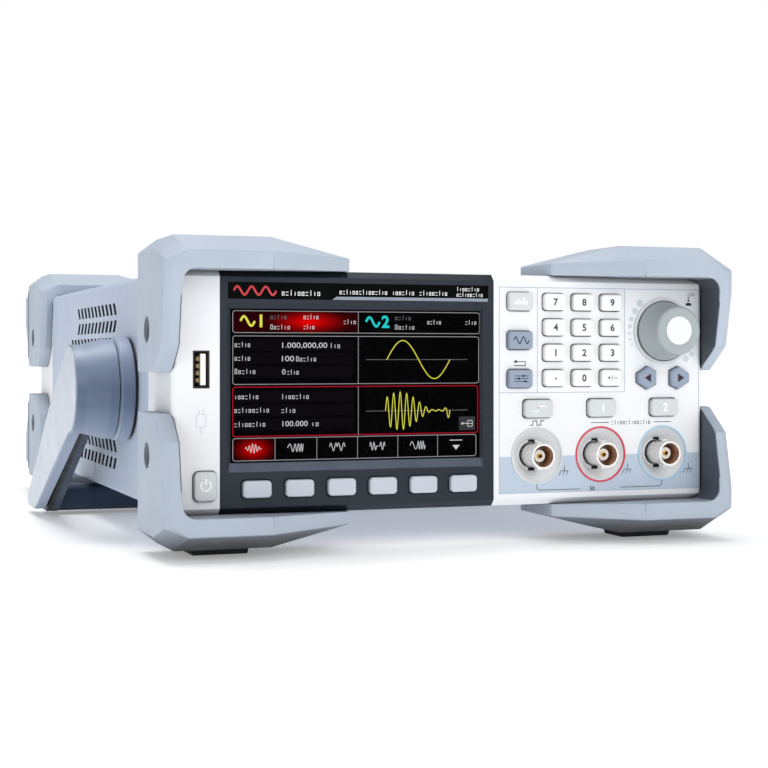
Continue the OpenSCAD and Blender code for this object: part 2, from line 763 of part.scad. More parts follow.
// Fan rotor: shaft, hub cup and seven straight blades set at a slant
module fan_rotor() color("#17191c") in_panel() {
    y0 = panel_y - fan_t - 0.2;
    difference() {
        rod_y(fan_pos, 11.5, y0 + 2.6, y0 + 13.6);
        rod_y(fan_pos, 9.8, y0 + 2, y0 + 12.2);
    }
    rod_y(fan_pos, 1.5, y0 + 0.6, y0 + 12.3);
    for (a = [0:360 / 7:359]) translate([fan_pos[0], y0 + 8.2, fan_pos[1]]) rotate([0, a, 0])
        translate([11, 0, 0]) rotate([38, 0, 0]) translate([0, -6.2, -0.7]) cube([16, 12.4, 1.4]);
}

// Carried by the rear panel: mains inlet, network and USB-B sockets, the switch's housing, the earth post
module rear_sockets() color("#202226") in_panel() {
    y1 = panel_y + panel_t;
    for (s = [[inlet_pos, [27.4, 19.4], 20, [24, 16], 15], [lan_pos, [16, 13.4], 16, [12, 8], 11]])
        translate([s[0][0], 0, s[0][1]]) difference() {
            back_from(y1 + 1.5 - s[2], s[2]) square(s[1], center = true);
            back_from(y1 + 1.5 - s[4], s[4] + 1) square(s[3], center = true);
        }
    for (p = [[-7, 1.5], [0, -3], [7, 1.5]])
        translate([inlet_pos[0] + p[0] - 1, y1 + 1.5 - 15 - tiny, inlet_pos[1] + p[1] - 2]) cube([2, 10, 4]);
    translate([usb_b_pos[0], 0, usb_b_pos[1]]) difference() {
        back_from(y1 - 14, 15) square([12, 10.8], center = true);
        back_from(y1 - 10, 12) square([8.6, 7.8], center = true);
    }
    translate([usb_b_pos[0] - 2.8, y1 - 10 - tiny, usb_b_pos[1] - 1.6]) cube([5.6, 9, 3.2]);
    translate([switch_pos[0], 0, switch_pos[1]]) difference() {
        union() {
            back_from(y1, 1.4) square([15.5, 21.5], center = true);
            back_from(y1 - 10, 10 + tiny) square([13, 19], center = true);
        }
        back_from(y1 - 7, 9) square([9.4, 15.2], center = true);
        rod_x([y1 + rocker_y, 0], rocker_pin_r + fit, -5.7, 5.7);
    }
    rod_y(earth_pos, 2, panel_y - 8, y1 + 5);
    rod_y(earth_pos, 3.4, y1 + 0.1, y1 + 3);
}

// Rocker of the mains switch, tilted to its off side, with the pins it rocks on
module mains_switch() color("#15171a") in_panel()
    translate([switch_pos[0], panel_y + panel_t + rocker_y, switch_pos[1]]) rotate([-rocker_tilt, 0, 0]) {
        right_from(-4.4, 8.8) polygon([[-3, -6.4], [2.6, -6.4], [1.4, 0], [2.6, 6.4], [-3, 6.4]]);
        rod_x([0, 0], rocker_pin_r, -5.6, 5.6);
    }

module screws() color("silver") in_panel() {
    for (y = [0, bumper_shift]) above_and_below() left_and_right() {
        rod_x([y, 0] + bumper_screw, 2.8, -4.2, -2.2);
        rod_x([y, 0] + bumper_screw, 1.35, -2.3, 3.4);
    }
    left_and_right() {
        rod_x([pivot_y, 0], 4, -19.2, -18);
        rod_x([pivot_y, 0], 1.55, -18.1, 4);
    }
    for (p = panel_screw_pos()) {
        rod_y(p, 2.7, panel_y + panel_t, panel_y + panel_t + 1.6);
        rod_y(p, 1.5, panel_y - 6, panel_y + panel_t + 0.1);
    }
}

// ---------------------------------------------------------------- output

front_bezel();
display_frame();
display_lens();
lcd_module();
front_board();
key_mat();
encoder_body();
encoder_plunger();
encoder_shaft();
knob_ring();
knob();
knob_cap();
soft_key(0);  // soft_key_1
soft_key(1);  // soft_key_2
soft_key(2);  // soft_key_3
soft_key(3);  // soft_key_4
soft_key(4);  // soft_key_5
soft_key(5);  // soft_key_6
pad_key(0, 0);  // key_7
pad_key(0, 1);  // key_8
pad_key(0, 2);  // key_9
pad_key(1, 0);  // key_4
pad_key(1, 1);  // key_5
pad_key(1, 2);  // key_6
pad_key(2, 0);  // key_1
pad_key(2, 1);  // key_2
pad_key(2, 2);  // key_3
pad_key(3, 0);  // key_point
pad_key(3, 1);  // key_0
pad_key(3, 2);  // key_sign
side_key(0, "#dfe3e6");  // key_mode
side_key(1, "#9aa5b8");  // key_wave
side_key(2, "#9aa5b8");  // key_utility
arrow_key(0);  // key_left
arrow_key(1);  // key_right
output_key(0);  // key_trigger
output_key(1);  // key_channel_1
output_key(2);  // key_channel_2
power_button();
bnc_shells();
bnc_cores();
usb_port();
case_sleeve();
rear_bezel();
rear_panel();
front_bumpers();
rear_bumpers();
foot_pads();
handle_bail();
handle_cover_left();
handle_cover_right();
hub_rings();
chassis_tray();
main_board();
power_supply();
fan_frame();
fan_rotor();
rear_sockets();
mains_switch();
screws();
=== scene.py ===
"""Looks of the two-channel function generator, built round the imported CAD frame.

Lengths are in millimetres in the panel frame (X right from the face's left edge, Y back from the
face, Z up from its middle) until at() turns them into metres in the row frame.
"""

import json
import math

import bmesh
import bpy
from mathutils import Matrix, Vector

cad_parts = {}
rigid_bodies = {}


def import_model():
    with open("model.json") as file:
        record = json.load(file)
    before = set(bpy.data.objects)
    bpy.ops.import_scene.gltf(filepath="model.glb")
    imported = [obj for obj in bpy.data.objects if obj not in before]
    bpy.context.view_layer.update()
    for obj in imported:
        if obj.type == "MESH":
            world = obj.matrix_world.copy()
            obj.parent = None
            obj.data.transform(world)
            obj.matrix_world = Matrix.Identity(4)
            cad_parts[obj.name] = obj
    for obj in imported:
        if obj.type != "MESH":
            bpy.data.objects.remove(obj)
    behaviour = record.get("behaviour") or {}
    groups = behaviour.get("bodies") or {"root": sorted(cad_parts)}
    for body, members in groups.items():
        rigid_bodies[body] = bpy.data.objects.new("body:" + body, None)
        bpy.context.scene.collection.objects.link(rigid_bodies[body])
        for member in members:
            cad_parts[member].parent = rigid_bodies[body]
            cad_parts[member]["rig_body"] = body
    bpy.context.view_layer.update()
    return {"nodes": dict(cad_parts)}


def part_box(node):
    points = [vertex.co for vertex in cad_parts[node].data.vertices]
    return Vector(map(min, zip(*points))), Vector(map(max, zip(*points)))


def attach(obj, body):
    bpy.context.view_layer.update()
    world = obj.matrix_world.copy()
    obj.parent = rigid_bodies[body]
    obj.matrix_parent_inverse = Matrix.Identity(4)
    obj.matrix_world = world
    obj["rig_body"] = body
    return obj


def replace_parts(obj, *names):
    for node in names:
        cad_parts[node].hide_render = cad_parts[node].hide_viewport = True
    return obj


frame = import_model()

MM = 0.001
BEZEL_LOW, BEZEL_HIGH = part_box("front_bezel")
LEFT = BEZEL_LOW.x
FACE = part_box("display_frame")[0].y
MIDDLE = (BEZEL_LOW.z + BEZEL_HIGH.z) / 2
WIDTH = (BEZEL_HIGH.x - BEZEL_LOW.x) / MM
PRINT = 0.04  # thickness of a printed mark
WELD = 0.001


def at(x, y, z):
    """A point of the panel frame in the row frame, in metres."""
    return Vector((LEFT + x * MM, FACE + y * MM, MIDDLE + z * MM))


def centre(node):
    """Middle of a CAD node's box, in panel millimetres."""
    low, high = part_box(node)
    middle = (low + high) / 2
    return [(middle.x - LEFT) / MM, (middle.y - FACE) / MM, (middle.z - MIDDLE) / MM]


def front_of(node):
    """Depth of a CAD node's foremost point, in panel millimetres."""
    return (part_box(node)[0].y - FACE) / MM


# ---------------------------------------------------------------- materials


def rgb(text):
    """Linear colour of an sRGB hex string."""
    parts = [int(text[i : i + 2], 16) / 255 for i in (0, 2, 4)]
    return [c / 12.92 if c <= 0.04045 else ((c + 0.055) / 1.055) ** 2.4 for c in parts] + [1.0]


def shade(colour, factor):
    return [min(1.0, c * factor) for c in colour[:3]] + [1.0]


class Finish:
    """A Principled material under construction, with helpers that add and link its nodes."""

    def __init__(self, name):
        self.material = bpy.data.materials.new(name)
        self.material.use_nodes = True
        self.nodes = self.material.node_tree.nodes
        self.link = self.material.node_tree.links.new
        self.shader = self.nodes["Principled BSDF"]
        self.place = self.add("ShaderNodeTexCoord").outputs["Object"]

    def add(self, kind, **settings):
        node = self.nodes.new(kind)
        for key, value in settings.items():
            setattr(node, key, value)
        return node

    def uniform(self, **values):
        for key, value in values.items():
            self.shader.inputs[key.replace("_", " ")].default_value = value

    def noise(self, size_mm, detail=3.0, stretch=None):
        """Noise whose features are about size_mm across; stretch scales its axes."""
        node = self.add("ShaderNodeTexNoise")
        node.inputs["Scale"].default_value = 1 / (size_mm * MM)
        node.inputs["Detail"].default_value = detail
        source = self.place
        if stretch:
            mapping = self.add("ShaderNodeMapping")
            mapping.inputs["Scale"].default_value = stretch
            self.link(source, mapping.inputs["Vector"])
            source = mapping.outputs["Vector"]
        self.link(source, node.inputs["Vector"])
        return node.outputs["Fac"]

    def spread(self, value, low, high, start=0.3, end=0.7):
        """Maps start..end of a value to low..high, clamped."""
        node = self.add("ShaderNodeMapRange")
        for key, number in (("From Min", start), ("From Max", end), ("To Min", low), ("To Max", high)):
            node.inputs[key].default_value = number
        self.link(value, node.inputs["Value"])
        return node.outputs["Result"]

    def mix(self, factor, first, second):
        """Colour between first and second, each a colour or a socket."""
        node = self.add("ShaderNodeMix", data_type="RGBA")
        self.link(factor, node.inputs["Factor"])
        for value, socket in ((first, node.inputs[6]), (second, node.inputs[7])):
            if isinstance(value, list):
                socket.default_value = value
            else:
                self.link(value, socket)
        return node.outputs[2]

    def times(self, first, second):
        node = self.add("ShaderNodeMath", operation="MULTIPLY")
        for value, socket in ((first, node.inputs[0]), (second, node.inputs[1])):
            if isinstance(value, (int, float)):
                socket.default_value = value
            else:
                self.link(value, socket)
        return node.outputs[0]

    def inside(self, low, high, soft=(0.02, 0.02, 0.02)):
        """1 inside a box of panel millimetres and 0 outside it, over a soft border; None leaves a side open."""
        split = self.add("ShaderNodeSeparateXYZ")
        self.link(self.place, split.inputs[0])
        result = None
        for axis in range(3):
            for limit, sign in ((low[axis], 1), (high[axis], -1)):
                if limit is None:
                    continue
                point = [0, 0, 0]
                point[axis] = limit
                edge = at(*point)[axis]
                near, far = edge - sign * soft[axis] * MM, edge + sign * soft[axis] * MM
                step = self.spread(split.outputs[axis], 0, 1, near, far)
                result = step if result is None else self.times(result, step)
        return result


def moulded(name, colour, rough=0.45, vary=0.06, grain=0.25, grain_mm=0.5, edge_mm=0.35, wear=0.25,
            paint=(), stretch=None, recess_mm=5, recess=0.6, **uniform):
    """Moulded plastic, rubber, paint or metal: patchy colour, fine grain, varied gloss, soft worn edges, and
    painted shade that darkens the colour towards the bottom of recesses and joins. paint lists boxes of panel
    millimetres, each with the colour inside it and, where given, how soft its sides are."""
    f = Finish(name)
    base = rgb(colour)
    f.uniform(**uniform)
    patches = f.spread(f.noise(38, 4.0, stretch), 0, 1)
    tone = f.mix(patches, shade(base, 1 - vary), shade(base, 1 + vary * 0.6))
    for low, high, tint, *soft in paint:
        tone = f.mix(f.inside(low, high, *soft), tone, rgb(tint))
    bump = f.add("ShaderNodeBump")
    bump.inputs["Strength"].default_value = grain
    bump.inputs["Distance"].default_value = 0.05 * MM
    fine = f.noise(grain_mm, 3.0, stretch)
    f.link(fine, bump.inputs["Height"])
    if edge_mm:
        rounded = f.add("ShaderNodeBevel", samples=4)
        rounded.inputs["Radius"].default_value = edge_mm * MM
        f.link(rounded.outputs[0], bump.inputs["Normal"])
        facing = f.add("ShaderNodeVectorMath", operation="DOT_PRODUCT")
        f.link(rounded.outputs[0], facing.inputs[0])
        f.link(f.add("ShaderNodeNewGeometry").outputs["Normal"], facing.inputs[1])
        edge = f.spread(facing.outputs["Value"], 1, 0, 0.90, 0.995)
        rubbed = f.times(edge, f.spread(f.noise(3.5, 5.0), 0.2, wear * 2))
        tone = f.mix(rubbed, tone, shade(base, 1.25))
    # Painted shade: ambient occlusion darkens the colour in recesses and joins, and tight gaps go almost black.
    if recess_mm:
        open_sky = f.add("ShaderNodeAmbientOcclusion", samples=8)
        open_sky.inputs["Distance"].default_value = recess_mm * MM
        recess_shade = f.spread(open_sky.outputs["AO"], 1, 0, 0.1, 0.75)
        tone = f.mix(f.times(recess_shade, recess), tone, shade(base, 0.12))
        tone = f.mix(f.spread(open_sky.outputs["AO"], 1, 0, 0.05, 0.3), tone, shade(base, 0.03))
    f.link(bump.outputs[0], f.shader.inputs["Normal"])
    f.link(tone, f.shader.inputs["Base Color"])
    gloss = f.spread(f.noise(9, 5.0, stretch), rough - 0.07, rough + 0.08)
    f.link(gloss, f.shader.inputs["Roughness"])
    return f.material


PIXEL_MM = 0.12
GLOW_POWER = 1.9
UNLIT = "050306"


def lit(name, colour, strength=1.0, glow=None):
    """A lit part of the screen, over a fine pixel grid. glow is (x, z, half width, half height) of a patch."""
    f = Finish(name)
    f.uniform(Roughness=0.9, Specular_IOR_Level=0.0, Emission_Strength=strength)
    f.shader.inputs["Base Color"].default_value = shade(rgb(colour), 0.02)
    grid = f.add("ShaderNodeTexChecker")
    grid.inputs["Scale"].default_value = 1 / (PIXEL_MM * MM)
    f.link(f.place, grid.inputs["Vector"])
    tone = f.mix(grid.outputs["Fac"], rgb(colour), shade(rgb(colour), 0.88))
    if glow:
        x, z, half_w, half_h = glow
        mapping = f.add("ShaderNodeMapping", vector_type="TEXTURE")
        mapping.inputs["Location"].default_value = at(x, 0, z)
        mapping.inputs["Scale"].default_value = (half_w * MM, 1, half_h * MM)
        f.link(f.place, mapping.inputs["Vector"])
        away = f.add("ShaderNodeVectorMath", operation="LENGTH")
        flat = f.add("ShaderNodeVectorMath", operation="MULTIPLY")
        flat.inputs[1].default_value = (1, 0, 1)
        f.link(mapping.outputs[0], flat.inputs[0])
        f.link(flat.outputs[0], away.inputs[0])
        falloff = f.spread(away.outputs["Value"], 1, 0, 0.0, 1.0)
        fade = f.add("ShaderNodeMath", operation="POWER")
        f.link(falloff, fade.inputs[0])
        fade.inputs[1].default_value = GLOW_POWER
        tone = f.mix(fade.outputs[0], rgb(UNLIT), tone)
    f.link(tone, f.shader.inputs["Emission Color"])
    return f.material


def glass(name):
    """Clear screen window with a faint smear in its gloss; the panel behind it shows the reflections."""
    f = Finish(name)
    f.uniform(Alpha=0.04, Specular_IOR_Level=0.0, Base_Color=(0, 0, 0, 1))
    f.link(f.spread(f.noise(14, 4.0), 0.03, 0.08), f.shader.inputs["Roughness"])
    return f.material


def both_sides(low, high, tint, *soft):
    """A paint box on the left of the case and its mirror image on the right."""
    mirror = ([WIDTH - high[0], *low[1:]], [WIDTH - low[0], *high[1:]], tint, *soft)
    return [(low, high, tint, *soft), mirror]


SHADE_SOFT = (0.02, 0.02, 9)
BAND = ([126.4, None, -39.5], [213.4, 0.05, -25.4], "bccbdc")
# Painted highlight: a lighter blue-grey on the screen frame's lower ledge, where light falls on it.
LEDGE_HIGHLIGHT = ([21, 0.06, -28.8], [121, 2.2, -25.42], "3d475a")
# Painted shade: darker colour on the inside walls of the bumper noses beside the face.
NOSE_INSIDE_SHADE = ([0.1, -13.7, -43.3], [WIDTH - 0.1, 2, 43.3], "4c5462")
# Painted shade on the handle covers: darker sides, and a softly graded dark band across each drum.
COVER_SIDE_SHADE = (both_sides([-23.6, 50, -70], [-5, 210, 25], "94a2b9")
               + both_sides([-23.4, 57, -15], [-5, 101, 9], "5d6d87", SHADE_SOFT))
# Painted shade on the hub rings: a softly graded dark band across each ring, and a black neck where it meets the
# case.
HUB_SIDE_SHADE = (both_sides([-20, 50, -15], [0, 110, 9], "66758e", SHADE_SOFT)
             + both_sides([-1.3, 50, -25], [0.2, 110, 25], "06080b"))
# Painted shade: a near-black strip along each bail arm beside its cover.
BAIL_GAP_SHADE = both_sides([-19, 50, -70], [-16, 210, 25], "0a0f16")
# Painted shade: near-black walls inside the side vent slots.
SLOT_WALL_SHADE = both_sides([0.12, 100, -40], [3, 230, 36], "05080e")

WHITE = moulded("white_plastic", "f1f3f6", 0.36, 0.03, 0.16, 0.4, paint=[BAND], recess_mm=3, recess=0.35)
FRAME = moulded("dark_frame_plastic", "1c2531", 0.34, 0.08, 0.2, 0.35, wear=0.12, paint=[LEDGE_HIGHLIGHT],
                Specular_IOR_Level=0.3)
PIANO = moulded("gloss_black", "040506", 0.2, 0.2, 0.05, 1.0, edge_mm=0.1, Specular_IOR_Level=0.06)
# Bumpers: painted shade darkens recesses up to 22 mm deep, and the nose insides are painted darker.
BUMPER = moulded("bumper_elastomer", "b2bdcc", 0.56, 0.05, 0.3, 0.6, edge_mm=0.3, wear=0.3, paint=[NOSE_INSIDE_SHADE],
                 recess_mm=22, recess=0.85)
SLEEVE = moulded("sleeve_paint", "b9c5da", 0.5, 0.025, 0.5, 0.45, edge_mm=0.3, paint=SLOT_WALL_SHADE)
COVER = moulded("cover_plastic", "c3cdda", 0.36, 0.04, 0.3, 0.5, edge_mm=0.5, paint=COVER_SIDE_SHADE)
HUB = moulded("hub_plastic", "a3b0c6", 0.36, 0.05, 0.3, 0.5, edge_mm=0.4, paint=HUB_SIDE_SHADE)
BAIL = moulded("bail_plastic", "2d3c52", 0.46, 0.1, 0.4, 0.5, edge_mm=0.6, wear=0.15, paint=BAIL_GAP_SHADE,
               Specular_IOR_Level=0.25)
FOOT = moulded("foot_rubber", "1b1e24", 0.8, 0.15, 0.6, 0.4, edge_mm=0.5, wear=0.1)
SOFT_KEY = moulded("soft_key_rubber", "c6cad6", 0.42, 0.03, 0.15, 0.3, edge_mm=0.25)
WHITE_KEY = moulded("white_key_rubber", "f2f3f4", 0.42, 0.02, 0.15, 0.3, edge_mm=0.25)
PALE_KEY = moulded("pale_key_rubber", "d6dadc", 0.4, 0.03, 0.15, 0.3, edge_mm=0.25,
                   Subsurface_Weight=0.1, Subsurface_Scale=0.5 * MM)
BLUE_KEY = moulded("blue_key_rubber", "95a1b6", 0.42, 0.04, 0.15, 0.3, edge_mm=0.25)
KNOB = moulded("knob_rubber", "a7b0b3", 0.5, 0.05, 0.35, 0.35, edge_mm=0.4)
CAP = moulded("cap_plastic", "eeeff0", 0.35, 0.02, 0.1, 0.4, edge_mm=0.15)
NICKEL = moulded("nickel_plate", "f4f3f0", 0.27, 0.04, 0.04, 0.3, edge_mm=0.15, recess=0.3, Metallic=0.65)
COPPER = moulded("bore_bronze", "b78d70", 0.3, 0.15, 0.05, 0.3, edge_mm=0, recess_mm=0, Metallic=0.6)
PORT_METAL = moulded("port_metal", "3a342b", 0.4, 0.1, 0.2, 0.4, edge_mm=0.15, Metallic=0.5)
SPRING = moulded("contact_bronze", "8c7a52", 0.4, 0.1, 0.1, 0.3, edge_mm=0, Metallic=0.4)
GOLD = moulded("gold_contact", "dba544", 0.25, 0.08, 0.1, 0.2, edge_mm=0, Metallic=1.0)
INSULATOR = moulded("white_insulator", "faf7f2", 0.45, 0.02, 0.1, 0.3, edge_mm=0.15, recess_mm=0)
STEEL = moulded("plated_steel", "b8b9bb", 0.3, 0.06, 0.2, 0.4, edge_mm=0.15, Metallic=1.0)
TRAY = moulded("zinc_sheet", "a9adb2", 0.38, 0.1, 0.2, 1.2, edge_mm=0, Metallic=1.0, stretch=(1, 0.2, 1))
REAR_METAL = moulded("painted_panel", "c9cdd2", 0.45, 0.05, 0.4, 0.5, edge_mm=0.2)
BLACK = moulded("black_plastic", "16181b", 0.5, 0.15, 0.4, 0.4, edge_mm=0.3, wear=0.15)
# Near-black matte stuff for the vent filters, and painted shade in the output notches.
DARK_FILTER_AND_NOTCH_SHADE = moulded("dark_filter_and_notch_shade", "07090b", 0.9, 0.3, 0.8, 0.8, edge_mm=0)
BOARD = moulded("circuit_board", "1d5c38", 0.4, 0.2, 0.3, 0.8, edge_mm=0)
LCD_BODY = moulded("lcd_body", "020203", 0.3, 0.2, 0.1, 0.5, edge_mm=0, recess_mm=0, Specular_IOR_Level=0.02)
MAT_RUBBER = moulded("key_mat_rubber", "70757f", 0.7, 0.06, 0.3, 0.5, edge_mm=0)
GLASS = glass("screen_window")
INK_DARK = moulded("dark_ink", "1b222d", 0.6, 0.1, 0.2, 0.3, edge_mm=0, recess_mm=0)
INK_GREY = moulded("grey_ink", "454c56", 0.6, 0.08, 0.2, 0.3, edge_mm=0, recess_mm=0)
INK_LINE = moulded("line_ink", "a3b1c3", 0.6, 0.05, 0.2, 0.3, edge_mm=0, recess_mm=0)
INK_PALE = moulded("pale_ink", "d0d7dd", 0.6, 0.04, 0.2, 0.3, edge_mm=0, recess_mm=0)
INK_WHITE = moulded("white_ink", "fbfcfc", 0.5, 0.02, 0.2, 0.3, edge_mm=0, recess_mm=0)
RED_RING = moulded("red_ring", "e2415a", 0.35, 0.06, 0.15, 0.4, edge_mm=0.1)
BLUE_RING = moulded("blue_ring", "b4d8f2", 0.35, 0.05, 0.15, 0.4, edge_mm=0.1)
GREY_RING = moulded("grey_ring", "dde2e5", 0.35, 0.04, 0.15, 0.4, edge_mm=0.1)

CAD_FINISH = {
    "front_bezel": WHITE, "display_frame": FRAME, "display_lens": GLASS, "lcd_module": LCD_BODY,
    "front_board": BOARD, "key_mat": MAT_RUBBER, "encoder_body": BLACK, "encoder_plunger": INSULATOR,
    "encoder_shaft": STEEL, "knob_ring": GREY_RING, "knob": KNOB, "knob_cap": CAP,
    "key_mode": PALE_KEY, "key_wave": BLUE_KEY, "key_utility": BLUE_KEY, "key_left": BLUE_KEY,
    "key_right": BLUE_KEY, "key_trigger": PALE_KEY, "key_channel_1": PALE_KEY, "key_channel_2": PALE_KEY,
    "power_button": PALE_KEY, "bnc_shells": NICKEL, "bnc_cores": INSULATOR, "usb_port": PORT_METAL,
    "case_sleeve": SLEEVE, "rear_bezel": WHITE, "rear_panel": REAR_METAL, "front_bumpers": BUMPER,
    "rear_bumpers": BUMPER, "foot_pads": FOOT, "handle_bail": BAIL, "handle_cover_left": COVER,
    "handle_cover_right": COVER, "hub_rings": HUB, "chassis_tray": TRAY, "main_board": BOARD,
    "power_supply": BOARD, "fan_frame": BLACK, "fan_rotor": BLACK, "rear_sockets": BLACK,
    "mains_switch": BLACK, "screws": STEEL,
}
SOFT_KEYS = [f"soft_key_{i}" for i in range(1, 7)]
PAD_KEYS = {"key_7": "7", "key_8": "8", "key_9": "9", "key_4": "4", "key_5": "5", "key_6": "6",
            "key_1": "1", "key_2": "2", "key_3": "3", "key_point": ".", "key_0": "0", "key_sign": "+/-"}
CAD_FINISH.update({key: SOFT_KEY for key in SOFT_KEYS})
CAD_FINISH.update({key: WHITE_KEY for key in PAD_KEYS})
for node_name, finish in CAD_FINISH.items():
    for material_slot in frame["nodes"][node_name].material_slots:
        material_slot.material = finish


# ---------------------------------------------------------------- mesh helpers


SMOOTH_BELOW = math.radians(38)


def finished(name, bm, body, material, smooth=False, weighted=False):
    """Turns a bmesh in row-frame metres into a piece that rides on a body."""
    bmesh.ops.recalc_face_normals(bm, faces=bm.faces)
    for face in bm.faces:
        face.smooth = smooth
    for edge in bm.edges:
        edge.smooth = len(edge.link_faces) == 2 and edge.calc_face_angle(0) < SMOOTH_BELOW
    mesh = bpy.data.meshes.new(name)
    bm.to_mesh(mesh)
    bm.free()
    mesh.materials.append(material)
    piece = bpy.data.objects.new(name, mesh)
    bpy.context.scene.collection.objects.link(piece)
    if weighted:
        normals = piece.modifiers.new("normals", "WEIGHTED_NORMAL")
        normals.keep_sharp = True
    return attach(piece, body)


def slab(bm, outline, y0, y1):
    """Closed plate: an outline of (x, z) points between the depths y0 and y1."""
    front = [bm.verts.new(at(x, y0, z)) for x, z in outline]
    back = [bm.verts.new(at(x, y1, z)) for x, z in outline]
    bm.faces.new(front)
    bm.faces.new(reversed(back))
    for i in range(len(outline)):
        bm.faces.new((front[i - 1], back[i - 1], back[i], front[i]))


def block(bm, low, high):
    """Box between two corners."""
    slab(bm, [(low[0], low[2]), (high[0], low[2]), (high[0], high[2]), (low[0], high[2])], low[1], high[1])


def ribbon(bm, points, width, y0, y1, closed=False):
    """Closed strip of that width along a line of (x, z) points, mitred at its corners."""
    count = len(points)
    rows = []
    for i, (x, z) in enumerate(points):
        before = Vector(points[i - 1] if closed or i else points[i])
        after = Vector(points[(i + 1) % count] if closed or i < count - 1 else points[i])
        here = Vector((x, z))
        ins, outs = here - before, after - here
        ins = ins.normalized() if ins.length else outs.normalized()
        outs = outs.normalized() if outs.length else ins
        along = (ins + outs).normalized()
        reach = width / 2 / max(0.35, along.dot(ins))
        side = Vector((-along.y, along.x)) * reach
        rows.append([bm.verts.new(at(*p)) for p in (
            (x + side.x, y0, z + side.y), (x - side.x, y0, z - side.y),
            (x - side.x, y1, z - side.y), (x + side.x, y1, z + side.y))])
    pairs = list(zip(rows, rows[1:])) + ([(rows[-1], rows[0])] if closed else [])
    for first, second in pairs:
        for i in range(4):
            bm.faces.new((first[i - 1], second[i - 1], second[i], first[i]))
    if not closed:
        bm.faces.new(rows[0])
        bm.faces.new(reversed(rows[-1]))


def revolve(bm, centre_xz, profile, steps=64, axis_y=0.0, flip=1):
    """Closed ring or disc about the Y axis at (x, z): a closed profile of (radius, depth) points."""
    rings = []
    for i in range(steps):
        a = 2 * math.pi * i / steps
        rings.append([bm.verts.new(at(centre_xz[0] + r * math.cos(a), axis_y + flip * y,
                                      centre_xz[1] + r * math.sin(a))) for r, y in profile])
    for i in range(steps):
        for j in range(len(profile)):
            bm.faces.new((rings[i - 1][j - 1], rings[i][j - 1], rings[i][j], rings[i - 1][j]))


def arc(x, z, radius, start, end, steps=16):
    """Points of a circular arc, angles in degrees from +X towards +Z."""
    angles = [math.radians(start + (end - start) * i / steps) for i in range(steps + 1)]
    return [(x + radius * math.cos(a), z + radius * math.sin(a)) for a in angles]


def rounded(x0, z0, x1, z1, r, steps=5):
    """Outline of a rectangle with round corners."""
    return (arc(x1 - r, z1 - r, r, 0, 90, steps) + arc(x0 + r, z1 - r, r, 90, 180, steps)
            + arc(x0 + r, z0 + r, r, 180, 270, steps) + arc(x1 - r, z0 + r, r, 270, 360, steps))


def disc(bm, x, z, radius, y0, y1, steps=28):
    slab(bm, arc(x, z, radius, 0, 360 - 360 / steps, steps - 1), y0, y1)


def glyph_mesh(text, bold=0.0):
    """Mesh of generic figures in the built-in font, one unit of type size, its strokes widened by bold."""
    curve = bpy.data.curves.new("figures", "FONT")
    curve.body = text
    curve.offset = bold
    curve.align_x = "CENTER"
    curve.resolution_u = 4
    curve.extrude = 0.5
    holder = bpy.data.objects.new("figures", curve)
    bpy.context.scene.collection.objects.link(holder)
    bpy.context.view_layer.update()
    mesh = bpy.data.meshes.new_from_object(holder.evaluated_get(bpy.context.evaluated_depsgraph_get()))
    bpy.data.objects.remove(holder)
    bpy.data.curves.remove(curve)
    return mesh


FIGURE_HEIGHT = max(v.co.y for v in glyph_mesh("1").vertices)


def figures(bm, text, x, z, height, y0, y1, width=None, bold=0.0):
    """Figures of that height centred at (x, z), between two depths. width squeezes them to fit."""
    size = height / FIGURE_HEIGHT
    mesh = glyph_mesh(text, bold / size)
    span = [f(v.co.x for v in mesh.vertices) for f in (min, max)]
    across = width / (span[1] - span[0]) if width else size
    turn = Matrix(((across, 0, 0, 0), (0, 0, -(y1 - y0), 0), (0, size, 0, 0), (0, 0, 0, 1)))
    place = Matrix.Translation((x - across * sum(span) / 2, (y0 + y1) / 2, z - height / 2))
    mesh.transform(Matrix.Translation(at(0, 0, 0)) @ Matrix.Scale(MM, 4) @ place @ turn)
    first = len(bm.verts)
    bm.from_mesh(mesh)
    bpy.data.meshes.remove(mesh)
    bm.verts.ensure_lookup_table()
    bmesh.ops.remove_doubles(bm, verts=bm.verts[first:], dist=WELD * MM)


def word(bm, x0, x1, z, height, y0, y1, step=0.72):
    """A generic row of small marks in place of a printed word: open boxes, stems and short bars."""
    line = height * 0.12
    count = max(2, round((x1 - x0) / (height * step)))
    pitch = (x1 - x0) / count
    low = z - height / 2
    for i in range(count):
        left = x0 + i * pitch
        wide = pitch * 0.66
        kind = (i * 3 + count * 2) % 5
        if kind in (1, 4):
            stem, tall = left + wide / 2, height * (1.0 if kind == 1 else 0.7)
            block(bm, (stem - line / 2, y0, low), (stem + line / 2, y1, low + tall))
        elif kind == 3:
            block(bm, (left, y0, low), (left + wide, y1, low + line))
            block(bm, (left, y0, low + height * 0.55), (left + wide, y1, low + height * 0.55 + line))
        else:
            top = low + height * (1.0 if kind == 2 and i == 0 else 0.7)
            ribbon(bm, [(left + line / 2, low + line / 2), (left + wide - line / 2, low + line / 2),
                        (left + wide - line / 2, top - line / 2), (left + line / 2, top - line / 2)],
                   line, y0, y1, closed=True)


